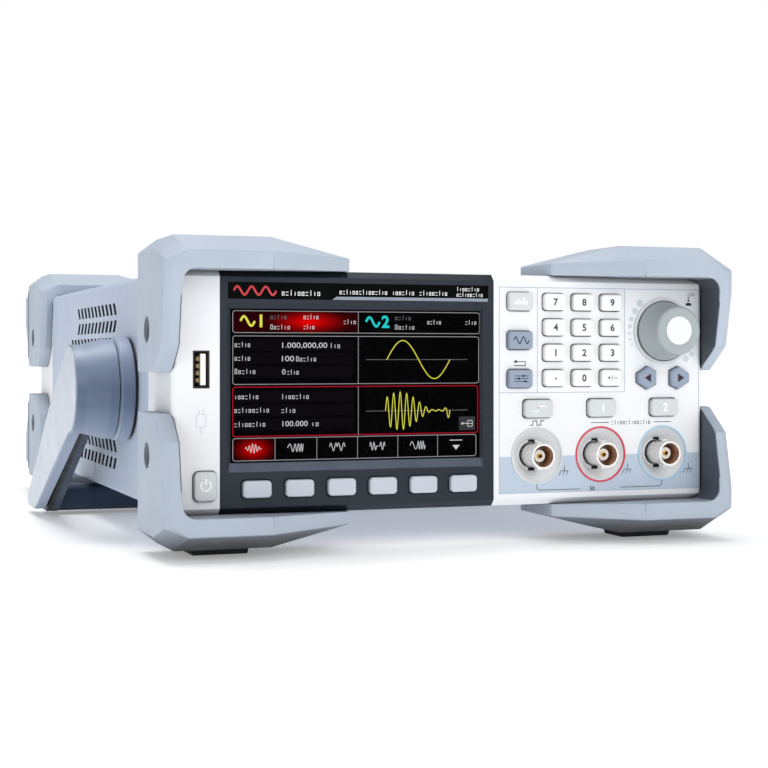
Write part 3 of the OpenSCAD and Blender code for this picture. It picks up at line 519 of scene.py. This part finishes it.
def refined(node, width, sharp=16, shortest=2.5):
    """A copy of a CAD node with its facets merged and its edges truly rounded, which stands for that node."""
    source = frame["nodes"][node]
    bm = bmesh.new()
    bm.from_mesh(source.data)
    bmesh.ops.remove_doubles(bm, verts=bm.verts, dist=0.03 * MM)
    bmesh.ops.dissolve_limit(bm, angle_limit=math.radians(0.7), verts=bm.verts, edges=bm.edges)
    bmesh.ops.triangulate(bm, faces=[f for f in bm.faces if len(f.verts) > 4])
    edges = [e for e in bm.edges if len(e.link_faces) == 2
             and abs(e.calc_face_angle_signed(0)) > math.radians(sharp) and e.calc_length() > shortest * MM]
    bmesh.ops.bevel(bm, geom=edges, offset=width * MM, offset_type="OFFSET", segments=2, profile=0.5,
                    affect="EDGES", clamp_overlap=False)
    piece = finished(node + "_moulding", bm, source["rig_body"], source.material_slots[0].material,
                     smooth=True, weighted=True)
    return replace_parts(piece, node)


# ---------------------------------------------------------------- refined mouldings

for moulding, edge_width, shortest_edge in (
    ("front_bumpers", 0.45, 2.5), ("rear_bumpers", 0.45, 2.5), ("handle_bail", 0.5, 2.5),
    ("foot_pads", 0.45, 1), ("mains_switch", 0.25, 0.4), ("key_left", 0.2, 0.1), ("key_right", 0.2, 0.1),
):
    refined(moulding, edge_width, shortest=shortest_edge)

KEY_LIP = 1.0
FLANGE = 1.0
CROWN = 0.7


def keycap(node, corner):
    """Pillow-shaped key with a rounded crown and a retaining flange, which stands for the CAD key."""
    low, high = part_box(node)
    x, _, z = centre(node)
    half_w = (high.x - low.x) / MM / 2 - KEY_LIP
    half_h = (high.z - low.z) / MM / 2 - KEY_LIP
    front, back = front_of(node), (high.y - FACE) / MM
    profile = [(2.0, front), (CROWN, front + 0.05)]
    for step in range(1, 6):
        angle = math.radians(90 - 18 * step)
        profile.append((CROWN * (1 - math.cos(angle)), front + 0.05 + CROWN * (1 - math.sin(angle))))
    profile += [(0, back - FLANGE), (-KEY_LIP, back - FLANGE), (-KEY_LIP, back)]
    bm = bmesh.new()
    loops = []
    for inset, y in profile:
        outline = rounded(x - half_w + inset, z - half_h + inset, x + half_w - inset, z + half_h - inset,
                          max(corner - inset, 0.3), 7)
        loops.append([bm.verts.new(at(px, y, pz)) for px, pz in outline])
    bm.faces.new(loops[0])
    bm.faces.new(reversed(loops[-1]))
    for first, second in zip(loops, loops[1:]):
        for i in range(len(first)):
            bm.faces.new((first[i - 1], second[i - 1], second[i], first[i]))
    source = frame["nodes"][node]
    piece = finished(node + "_cap", bm, source["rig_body"], source.material_slots[0].material,
                     smooth=True, weighted=True)
    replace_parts(piece, node)


for keys, corner_r in ((SOFT_KEYS, 1.5), (PAD_KEYS, 1.6), (("key_mode", "key_wave", "key_utility"), 1.0),
                       (("key_trigger", "key_channel_1", "key_channel_2"), 1.8), (("power_button",), 2.0)):
    for key in keys:
        keycap(key, corner_r)


# ---------------------------------------------------------------- key legends


def on_key(node, name, material):
    """Context for a legend on a key: its mesh, centre and depths; call the returned function when drawn."""
    x, _, z = centre(node)
    face = front_of(node)
    return bmesh.new(), x, z, face - PRINT, face + PRINT, lambda bm: finished(
        name, bm, frame["nodes"][node]["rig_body"], material)


def sine(x0, x1, z, height, turns=1.0, steps=28, envelope=None, phase=0.0):
    """Points of a sine along X, its height scaled by envelope(t) where one is given."""
    points = []
    for i in range(steps + 1):
        t = i / steps
        size = height / 2 * (envelope(t) if envelope else 1)
        points.append((x0 + (x1 - x0) * t, z + size * math.sin(2 * math.pi * (turns * t + phase))))
    return points


for node, legend in PAD_KEYS.items():
    bm, x, z, y0, y1, done = on_key(node, node + "_legend", INK_GREY)
    if legend == ".":
        disc(bm, x, z - 0.2, 0.38, y0, y1)
    elif legend == "+/-":
        block(bm, (x - 2.0, y0, z - 0.15), (x - 0.8, y1, z + 0.15))
        block(bm, (x - 1.55, y0, z - 0.6), (x - 1.25, y1, z + 0.6))
        ribbon(bm, [(x - 0.25, z - 1.0), (x + 0.3, z + 1.0)], 0.22, y0, y1)
        block(bm, (x + 0.9, y0, z - 0.15), (x + 2.1, y1, z + 0.15))
    else:
        figures(bm, legend, x, z, 2.5, y0, y1, bold=0.12)
    done(bm)

bm, x, z, y0, y1, done = on_key("key_mode", "key_mode_legend", INK_WHITE)
for i, tall in enumerate((1.0, 2.2, 1.5, 2.6, 1.3)):
    block(bm, (x - 2.9 + i * 1.2, y0, z - 1.2), (x - 2.1 + i * 1.2, y1, z - 1.2 + tall))
done(bm)

bm, x, z, y0, y1, done = on_key("key_wave", "key_wave_legend", INK_DARK)
ribbon(bm, sine(x - 3.2, x + 3.2, z, 2.6, 2, 40), 0.42, y0, y1)
done(bm)

bm, x, z, y0, y1, done = on_key("key_utility", "key_utility_legend", INK_DARK)
for i, knob_at in enumerate((0.8, -1.1, 1.6)):
    row = z + 1.05 - 1.05 * i
    block(bm, (x - 3.0, y0, row - 0.13), (x + 3.0, y1, row + 0.13))
    disc(bm, x + knob_at, row, 0.46, y0, y1)
done(bm)

bm, x, z, y0, y1, done = on_key("key_trigger", "key_trigger_legend", INK_WHITE)
ribbon(bm, [(x - 3, z - 1), (x - 0.6, z - 1), (x - 0.6, z + 1), (x + 3, z + 1)], 0.42, y0, y1)
slab(bm, [(x - 1.5, z - 0.1), (x + 0.3, z - 0.1), (x - 0.6, z + 0.9)], y0, y1)
done(bm)

for node, figure in (("key_channel_1", "1"), ("key_channel_2", "2")):
    bm, x, z, y0, y1, done = on_key(node, node + "_legend", INK_WHITE)
    figures(bm, figure, x, z, 3.0, y0, y1, bold=0.12)
    done(bm)

for node, side in (("key_left", -1), ("key_right", 1)):
    bm, x, z, y0, y1, done = on_key(node, node + "_legend", INK_DARK)
    slab(bm, [(x - side * 1.3, z - 1.7), (x - side * 1.3, z + 1.7), (x + side * 1.5, z)], y0, y1)
    done(bm)

bm, x, z, y0, y1, done = on_key("power_button", "power_symbol", INK_WHITE)
z += 0.3
ribbon(bm, arc(x, z, 1.8, 125, 415, 30), 0.75, y0, y1)
block(bm, (x - 0.36, y0, z + 0.3), (x + 0.36, y1, z + 2.5))
done(bm)


# ---------------------------------------------------------------- print on the face

bm = bmesh.new()
y0, y1 = -PRINT, PRINT
ribbon(bm, [(126.5, 39.3), (213.4, 39.3), (213.4, -39.4), (126.5, -39.4)], 0.22, y0, y1, closed=True)
block(bm, (142.39, y0, -0.9), (142.61, y1, 39.2))
block(bm, (180.09, y0, -0.9), (180.31, y1, 39.2))
block(bm, (126.6, y0, -1.11), (180.31, y1, -0.89))
finished("face_lines", bm, "case", INK_LINE)

bm = bmesh.new()
ribbon(bm, [(132.6, 9.4), (137.4, 9.4), (137.4, 10.9), (133.6, 10.9)], 0.28, y0, y1)
slab(bm, [(133.8, 10.2), (133.8, 11.6), (132.4, 10.9)], y0, y1)
word(bm, 174.4, 191.9, -12.8, 1.8, y0, y1)
ribbon(bm, [(139.3, -13.5), (140.6, -13.5), (140.6, -11.9), (142.3, -11.9), (142.3, -13.5), (143.9, -13.5),
            (143.9, -11.9), (145.3, -11.9)], 0.3, y0, y1)
block(bm, (165.5, y0, -13.03), (173.4, y1, -12.77))
block(bm, (193.1, y0, -13.03), (200.9, y1, -12.77))
for x, z in ((154.1, -31.3), (181.5, -31.3), (208.7, -31.7)):
    block(bm, (x - 0.12, y0, z), (x + 0.12, y1, z + 2.2))
    block(bm, (x - 1.6, y0, z - 0.12), (x + 1.6, y1, z + 0.12))
    for shift in (-1.5, 0, 1.5):
        ribbon(bm, [(x + shift, z), (x + shift - 0.9, z - 1.7)], 0.22, y0, y1)
ribbon(bm, [(142.3, -35.6), (142.3, -37.6), (142.6, -38.2), (143.4, -38.5), (160.9, -38.5)], 0.24, y0, y1)
ribbon(bm, [(178.4, -38.3), (195.2, -38.3), (196.2, -38.0), (196.7, -37.2), (196.7, -35.9)], 0.24, y0, y1)
figures(bm, "50", 166, -38.4, 1.6, y0, y1, bold=0.03)
slab(bm, [(207.5, 33.0), (210.1, 33.0), (210.1, 33.5), (209.6, 34.2), (208.0, 34.2), (207.5, 33.5)], y0, y1)
disc(bm, 208.8, 35.1, 0.42, y0, y1)
slab(bm, [(208.3, 35.9), (209.3, 35.9), (208.8, 36.7)], y0, y1)
ribbon(bm, [(208.3, 37.0), (209.5, 37.7), (211.4, 38.0)], 0.2, y0, y1)
ribbon(bm, [(209.3, 36.8), (211.6, 37.3)], 0.2, y0, y1)
finished("face_marks", bm, "case", INK_DARK)

bm = bmesh.new()
for x, z, r in ((186.9, 33.8, 1.41), (184.8, 30.6, 1.2), (183.2, 27.5, 0.98), (182.6, 24.7, 0.87),
                (182.4, 21.9, 0.65), (182.7, 19.6, 0.54), (183.4, 17.6, 0.43), (207.5, 12.1, 1.41),
                (210.1, 13.8, 1.09)):
    disc(bm, x, z, r, y0, y1)
finished("scale_dots", bm, "case", INK_PALE)

bm = bmesh.new()
ribbon(bm, rounded(8.9, -12.4, 12.3, -7.6, 0.7), 0.26, y0, y1, closed=True)
block(bm, (9.7, y0, -7.6), (10.0, y1, -6.0))
block(bm, (11.2, y0, -7.6), (11.5, y1, -6.0))
block(bm, (10.45, y0, -15.0), (10.75, y1, -12.5))
finished("port_mark", bm, "case", INK_PALE)


# ---------------------------------------------------------------- header strip and screen

bm = bmesh.new()
slab(bm, [(20.5, 33.65), (59.6, 33.65), (61.2, 34.85), (121.9, 34.85), (121.9, 39.65), (20.5, 39.65)],
     0.06, 0.32)
finished("header_strip", bm, "case", PIANO)
# Painted highlight: a pale grey strip under the right part of the header strip stands for its lit bevel.
bm = bmesh.new()
slab(bm, [(59.8, 33.62), (121.9, 33.62), (121.9, 34.8), (61.35, 34.8)], 0.1, 0.32)
finished("header_ledge_highlight", bm, "case", moulded("ledge_highlight_plastic", "8d98a6", 0.3, 0.08, 0.1, 0.4, edge_mm=0.1))
bm = bmesh.new()
word(bm, 40.5, 55.5, 36.0, 2.0, 0.02, 0.08)
for x0, x1 in ((62.5, 81.5), (83.2, 92.2), (94, 105.5)):
    word(bm, x0, x1, 36.6, 1.8, 0.02, 0.08)
word(bm, 109, 118.5, 38.3, 1.6, 0.02, 0.08)
word(bm, 109, 120, 36.2, 1.6, 0.02, 0.08)
finished("header_marks", bm, "case", INK_WHITE)
bm = bmesh.new()
ribbon(bm, sine(22.6, 38.4, 36.6, 3.0, 3, 60), 0.75, 0.02, 0.08)
finished("header_wave", bm, "case", moulded("red_ink", "d2323c", 0.5, 0.05, 0.2, 0.3, edge_mm=0, recess_mm=0))

TEXT_Y = (2.30, 2.33)
LINE_Y = (2.34, 2.36)
FILL_Y = (2.37, 2.395)
CELLS = [30.4, 46.3, 62.4, 78.1, 94.1, 109.7]
HIGHLIGHT = lit("lit_red_cell", "f00000", 1.0, glow=(30.6, -20.8, 9.0, 5.6))
HEADER_GLOW = lit("lit_red_header", "ff0505", 1.0, glow=(51.5, 25.5, 18, 5.2))
STRIP = lit("lit_dark_strip", "0f0d12")
LIT_WHITE = lit("lit_white", "d6d8da")
LIT_GREY = lit("lit_grey", "6b6d70")
LIT_LINE = lit("lit_line", "a9abad")
LIT_RED = lit("lit_red_line", "c2152a")
LIT_YELLOW = lit("lit_yellow", "e8e84e")
LIT_CYAN = lit("lit_cyan", "2ad4d4")
LIT_TILE = lit("lit_tile", "3b3d3f")


def on_screen(name, material):
    """Starts a mesh on the screen and returns it with the call that finishes it."""
    return bmesh.new(), lambda bm: finished(name, bm, "case", material)


bm, done = on_screen("screen_header_glow", HEADER_GLOW)
slab(bm, rounded(22.9, 21.6, 70.5, 29.3, 0.8), *FILL_Y)
done(bm)
bm, done = on_screen("screen_cell_glow", HIGHLIGHT)
slab(bm, rounded(22.95, -24.7, 38.5, -16.85, 0.8), *FILL_Y)
done(bm)
bm, done = on_screen("screen_strips", STRIP)
for z in (17.0, 12.1, 7.3, -1.7, -6.6, -11.7):
    slab(bm, rounded(23.1, z - 2.1, 68.8, z + 2.1, 0.3), *FILL_Y)
done(bm)
bm, done = on_screen("screen_lines", LIT_LINE)
for box in ((22.8, 21.5, 119.3, 29.4), (22.8, 2.8, 119.0, 20.3), (22.8, -24.8, 117.9, -16.7)):
    ribbon(bm, rounded(*box, 0.9), 0.22, *LINE_Y, closed=True)
for x, low, high in [(70.6, 21.5, 29.4), (70.6, 2.8, 20.3), (70.6, -16.0, 1.8)] + [
        (x, -24.7, -16.8) for x in (38.6, 54.5, 70.3, 86.2, 102.2)]:
    block(bm, (x - 0.09, LINE_Y[0], low), (x + 0.09, LINE_Y[1], high))
for z in (11.7, -7.4):
    for i in range(50):
        left = 73.7 + i * 0.82
        block(bm, (left, LINE_Y[0], z - 0.08), (left + 0.45, LINE_Y[1], z + 0.08))
done(bm)
bm, done = on_screen("screen_red_box", LIT_RED)
ribbon(bm, rounded(22.8, -16.0, 118.6, 1.8, 0.9), 0.3, *LINE_Y, closed=True)
done(bm)

bm, done = on_screen("screen_traces", LIT_YELLOW)
ribbon(bm, sine(81.8, 107.2, 11.7, 14.3, 1, 48), 0.34, *TEXT_Y)


def burst(t):
    """Size of the modulated trace: full near its start, down to almost nothing, and back."""
    return max(0.04, 0.5 + 0.5 * math.cos(2 * math.pi * (t - 0.22) / 1.15)) if t < 0.95 else 0.4


ribbon(bm, sine(81.3, 107.2, -7.4, 14.0, 10, 240, burst), 0.3, *TEXT_Y)
done(bm)

for name, x, figure, tint in (("screen_channel_1", 25.4, "1", LIT_YELLOW),
                              ("screen_channel_2", 73.4, "2", LIT_CYAN)):
    bm, done = on_screen(name, tint)
    ribbon(bm, sine(x + 0.2, x + 5.6, 25.7, 3.4, 1, 24), 0.85, *TEXT_Y)
    figures(bm, figure, x + 7.9, 25.75, 4.2, *TEXT_Y, bold=0.2)
    done(bm)

bm, done = on_screen("screen_dim_words", LIT_GREY)
word(bm, 36.8, 43.3, 27.3, 1.7, *TEXT_Y)
word(bm, 85.1, 91.8, 27.3, 1.7, *TEXT_Y)
done(bm)

bm, done = on_screen("screen_words", LIT_WHITE)
for x0, x1, z in ((36.8, 44.6, 23.6), (49.4, 55.5, 27.4), (49.4, 53.9, 23.7), (64.9, 70.0, 25.7),
                  (85.1, 93.2, 23.8), (98.0, 103.9, 25.8), (113.5, 118.4, 25.8)):
    word(bm, x0, x1, z, 1.75, *TEXT_Y)
for x0, x1, z in ((23.5, 29.6, 17.2), (23.5, 29.6, 12.3), (23.5, 31.6, 7.5), (23.4, 32.7, -1.6),
                  (23.4, 36.7, -6.5), (23.4, 35.3, -11.6), (59.6, 63.9, 16.9), (46.6, 54.6, 12.0),
                  (43.2, 47.9, 7.2), (41.0, 51.8, -1.7), (41.0, 46.7, -6.7), (52.4, 55.7, -11.7)):
    word(bm, x0, x1, z, 1.85, *TEXT_Y)
figures(bm, "1.000,000,00", 49.9, 17.0, 1.9, *TEXT_Y, width=17.2)
figures(bm, "100", 43.5, 12.1, 1.9, *TEXT_Y, width=4.6)
figures(bm, "0", 41.9, 7.3, 1.9, *TEXT_Y, width=1.3)
figures(bm, "100.000", 46.2, -11.6, 1.9, *TEXT_Y, width=9.6)
middle = -20.4
ribbon(bm, sine(CELLS[0] - 3, CELLS[0] + 3, middle, 3.4, 5, 60,
                lambda t: 0.25 + 0.75 * math.sin(math.pi * t) ** 2), 0.22, *TEXT_Y)
ribbon(bm, [(CELLS[1] - 3 + 6 * t, middle + 1.4 * math.sin(2 * math.pi * (1.2 * t + 3 * t * t)))
            for t in (i / 60 for i in range(61))], 0.24, *TEXT_Y)
ribbon(bm, sine(CELLS[2] - 3, CELLS[2], middle, 2.8, 1.5, 24), 0.24, *TEXT_Y)
ribbon(bm, sine(CELLS[2], CELLS[2] + 3, middle, 2.8, 1.5, 24), 0.24, *TEXT_Y)
ribbon(bm, sine(CELLS[3] - 3, CELLS[3] - 0.4, middle, 2.8, 2, 24), 0.24, *TEXT_Y)
block(bm, (CELLS[3] - 0.4, TEXT_Y[0], middle - 0.1), (CELLS[3] + 1.0, TEXT_Y[1], middle + 0.1))
ribbon(bm, sine(CELLS[3] + 1.0, CELLS[3] + 3, middle, 2.8, 1.5, 24), 0.24, *TEXT_Y)
ribbon(bm, sine(CELLS[4] - 3, CELLS[4], middle, 2.8, 1, 24), 0.24, *TEXT_Y)
ribbon(bm, sine(CELLS[4], CELLS[4] + 3, middle, 2.8, 3, 36), 0.24, *TEXT_Y)
block(bm, (CELLS[5] - 2.6, TEXT_Y[0], middle + 1.5), (CELLS[5] + 2.6, TEXT_Y[1], middle + 1.8))
slab(bm, [(CELLS[5] - 1.5, middle - 0.2), (CELLS[5] + 1.5, middle - 0.2), (CELLS[5], middle - 2.0)], *TEXT_Y)
done(bm)
bm, done = on_screen("screen_tile", LIT_TILE)
slab(bm, [(110.9, -15.0), (117.5, -15.0), (117.5, -9.9), (110.9, -9.9)], *LINE_Y)
done(bm)
bm, done = on_screen("screen_tile_mark", LIT_WHITE)
block(bm, (112.2, TEXT_Y[0], -12.6), (116.2, TEXT_Y[1], -12.35))
disc(bm, 112.3, -12.5, 0.45, *TEXT_Y)
ribbon(bm, rounded(114.4, -13.6, 116.4, -11.4, 0.3), 0.24, *TEXT_Y, closed=True)
done(bm)


# ---------------------------------------------------------------- outputs, port and openings

OUTPUTS = ((142.3, GREY_RING, "grey"), (169.6, RED_RING, "red"), (197.0, BLUE_RING, "blue"))
OUTPUT_Z = -25.2
REAR_OUTPUTS = ((108, 12), (134, 12))
EARTH = (158, 10)
NETWORK = (140, -22)
INLET_PINS = ((177, -16.5), (184, -21), (191, -16.5))
MOUTH = front_of("bnc_shells")
for x, tint, name in OUTPUTS:
    bm = bmesh.new()
    section = [(10.85, 0.02), (10.85, -0.3), (10.7, -0.45), (10.35, -0.45), (10.15, -0.25), (10.15, 0.02)]
    revolve(bm, (x, OUTPUT_Z), section, 96)
    finished(f"output_ring_{name}", bm, "case", tint, smooth=True)
# Painted shade: near-black blocks fill the lug notches beside each output.
bm = bmesh.new()
for x, _, _ in OUTPUTS:
    for side in (-1, 1):
        low, high = sorted((OUTPUT_Z + side * 5.2, OUTPUT_Z + side * 5.97))
        block(bm, (x - 1.39, 5.3, low), (x + 1.39, 9.5, high))
finished("output_notch_shade", bm, "case", DARK_FILTER_AND_NOTCH_SHADE)
rear_mouth = (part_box("bnc_shells")[1].y - FACE) / MM
bm = bmesh.new()
contacts = bmesh.new()
for x, z, mouth, flip in [(x, OUTPUT_Z, MOUTH, 1) for x, _, _ in OUTPUTS] + [
        (x, z, rear_mouth, -1) for x, z in REAR_OUTPUTS]:
    revolve(bm, (x, z), [(4.09, 0.15), (3.98, 0.3), (3.98, 8.8), (4.09, 8.8)], 56, mouth, flip)
    revolve(contacts, (x, z), [(1.02, 3.75), (0.95, 3.2), (0.62, 3.1), (0.52, 3.3), (0.52, 5.5), (1.02, 5.5)],
            36, mouth, flip)
finished("bore_linings", bm, "case", COPPER, smooth=True)
finished("centre_contacts", contacts, "case", GOLD, smooth=True)

port_low, port_high = [[(p.x - LEFT) / MM, (p.y - FACE) / MM, (p.z - MIDDLE) / MM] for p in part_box("usb_port")]
bm = bmesh.new()
tongue = (port_low[0] + 2.72, port_low[1] + 0.6, port_low[2] + 0.92)
block(bm, tongue, (port_low[0] + 4.68, port_low[1] + 12.3, port_high[2] - 0.92))
finished("port_tongue", bm, "case", INSULATOR)
bm = bmesh.new()
for i in range(4):
    z = port_low[2] + 2.0 + i * 2.55
    block(bm, (tongue[0] - 1.5, tongue[1] + 0.6, z), (tongue[0] + 0.02, tongue[1] + 8.5, z + 1.4))
finished("port_contacts", bm, "case", SPRING)

PANEL = (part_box("rear_panel")[1].y - FACE) / MM
y0, y1 = PANEL - PRINT, PANEL + PRINT
bm = bmesh.new()
x = EARTH[0]
for shift in (-1.4, 0, 1.4):
    ribbon(bm, [(x + shift, 18.6), (x + shift - 0.8, 17.2)], 0.25, y0, y1)
block(bm, (x - 1.6, y0, 18.5), (x + 1.6, y1, 18.75))
block(bm, (x - 0.12, y0, 18.7), (x + 0.12, y1, 20.6))
for x in (132, 136.5):
    ribbon(bm, rounded(x, -13.6, x + 3, -11.4, 0.3), 0.25, y0, y1, closed=True)
block(bm, (135, y0, -12.6), (136.5, y1, -12.4))
ribbon(bm, rounded(116, -14.6, 120, -12.0, 0.5), 0.25, y0, y1, closed=True)
block(bm, (120, y0, -13.9), (121.6, y1, -13.6))
block(bm, (120, y0, -13.0), (121.6, y1, -12.7))
ribbon(bm, sine(104.5, 111.5, 22.3, 2.2, 2, 32), 0.28, y0, y1)
ribbon(bm, [(130.5, 21.4), (132.2, 21.4), (132.2, 23.2), (134, 23.2), (134, 21.4), (135.8, 21.4), (135.8, 23.2),
            (137.5, 23.2)], 0.28, y0, y1)
finished("rear_marks", bm, "case", INK_DARK)

bm = bmesh.new()
revolve(bm, EARTH, [(0.3, 5.12), (1.7, 5.12), (2.12, 4.7), (2.12, 3.1), (3.3, 3.1), (3.55, 2.85), (3.55, 0.06),
                    (0.3, 0.06)], 36, PANEL)
for x, z in INLET_PINS:
    block(bm, (x - 1.06, PANEL - 13.4, z - 2.06), (x + 1.06, PANEL - 3.44, z + 2.06))
finished("earth_nut_and_inlet_pins", bm, "case", NICKEL)
bm = bmesh.new()
for i in range(8):
    x = NETWORK[0] - 3.8 + i * 1.02
    block(bm, (x, PANEL - 9.4, NETWORK[1] + 3.5), (x + 0.45, PANEL - 1.0, NETWORK[1] + 4.1))
finished("network_contacts", bm, "case", GOLD)

bm = bmesh.new()
for x0, x1 in ((3.4, 3.9), (WIDTH - 3.9, WIDTH - 3.4)):
    block(bm, (x0, 100, -39), (x1, 226, 37))
finished("vent_filters", bm, "case", DARK_FILTER_AND_NOTCH_SHADE)


# ---------------------------------------------------------------- floor, light and camera

FLOOR_HALF = 15
FLOOR = Finish("pale_floor")
FLOOR.link(FLOOR.mix(FLOOR.spread(FLOOR.noise(60, 4.0), 0, 1), rgb("f6f6f6"), rgb("fcfcfc")),
           FLOOR.shader.inputs["Base Color"])
FLOOR.link(FLOOR.spread(FLOOR.noise(15), 0.6, 0.75), FLOOR.shader.inputs["Roughness"])
FLOOR.uniform(Emission_Color=(1, 1, 1, 1))
away = FLOOR.add("ShaderNodeVectorMath", operation="LENGTH")
FLOOR.link(FLOOR.place, away.inputs[0])
FLOOR.link(FLOOR.spread(away.outputs["Value"], 0.25, 0.75, 0.35, 1.2), FLOOR.shader.inputs["Emission Strength"])
bm = bmesh.new()
bmesh.ops.create_grid(bm, x_segments=2, y_segments=2, size=FLOOR_HALF)
floor_mesh = bpy.data.meshes.new("floor")
bm.to_mesh(floor_mesh)
bm.free()
floor_mesh.materials.append(FLOOR.material)
floor = bpy.data.objects.new("floor", floor_mesh)
bpy.context.scene.collection.objects.link(floor)

AMBIENT = 0.36
world = bpy.data.worlds.new("studio")
world.use_nodes = True
sky = world.node_tree.nodes["Background"]
sky.inputs["Color"].default_value = (1, 1, 1, 1)
seen = world.node_tree.nodes.new("ShaderNodeMapRange")
seen.inputs["To Min"].default_value = AMBIENT
rays = world.node_tree.nodes.new("ShaderNodeLightPath")
world.node_tree.links.new(rays.outputs["Is Camera Ray"], seen.inputs["Value"])
world.node_tree.links.new(seen.outputs["Result"], sky.inputs["Strength"])
bpy.context.scene.world = world
bpy.context.scene.view_settings.view_transform = "Standard"


def softbox(name, place, target, size, power):
    """Square area light aimed at a point, both in metres."""
    data = bpy.data.lights.new(name, "AREA")
    data.size = size
    data.energy = power
    lamp = bpy.data.objects.new(name, data)
    lamp.location = place
    lamp.rotation_euler = (Vector(target) - Vector(place)).to_track_quat("-Z", "Y").to_euler()
    bpy.context.scene.collection.objects.link(lamp)


SUBJECT = (0, 0, 0.06)
softbox("key_light", (0.35, -1.55, 0.8), SUBJECT, 1.0, 8.8)
softbox("top_light", (-0.1, 0.2, 1.5), SUBJECT, 1.0, 16)
softbox("side_light", (-1.5, 0.6, 0.6), SUBJECT, 0.8, 2.2)
softbox("fill_light", (-1.3, -1.2, 0.5), SUBJECT, 0.6, 2.2)

LENS_MM = 75.514
SENSOR_MM = 36
SHIFT_UP = -0.03734
CAMERA_PLACE = (-0.231967, -0.724683, 0.072496)
CAMERA_TURN = (math.radians(90), 0, math.radians(-20.014))
camera_data = bpy.data.cameras.new("camera")
camera_data.lens = LENS_MM
camera_data.sensor_width = SENSOR_MM
camera_data.shift_y = SHIFT_UP
camera_data.clip_start = 0.01
camera = bpy.data.objects.new("camera", camera_data)
camera.location = CAMERA_PLACE
camera.rotation_euler = CAMERA_TURN
bpy.context.scene.collection.objects.link(camera)
bpy.context.scene.camera = camera
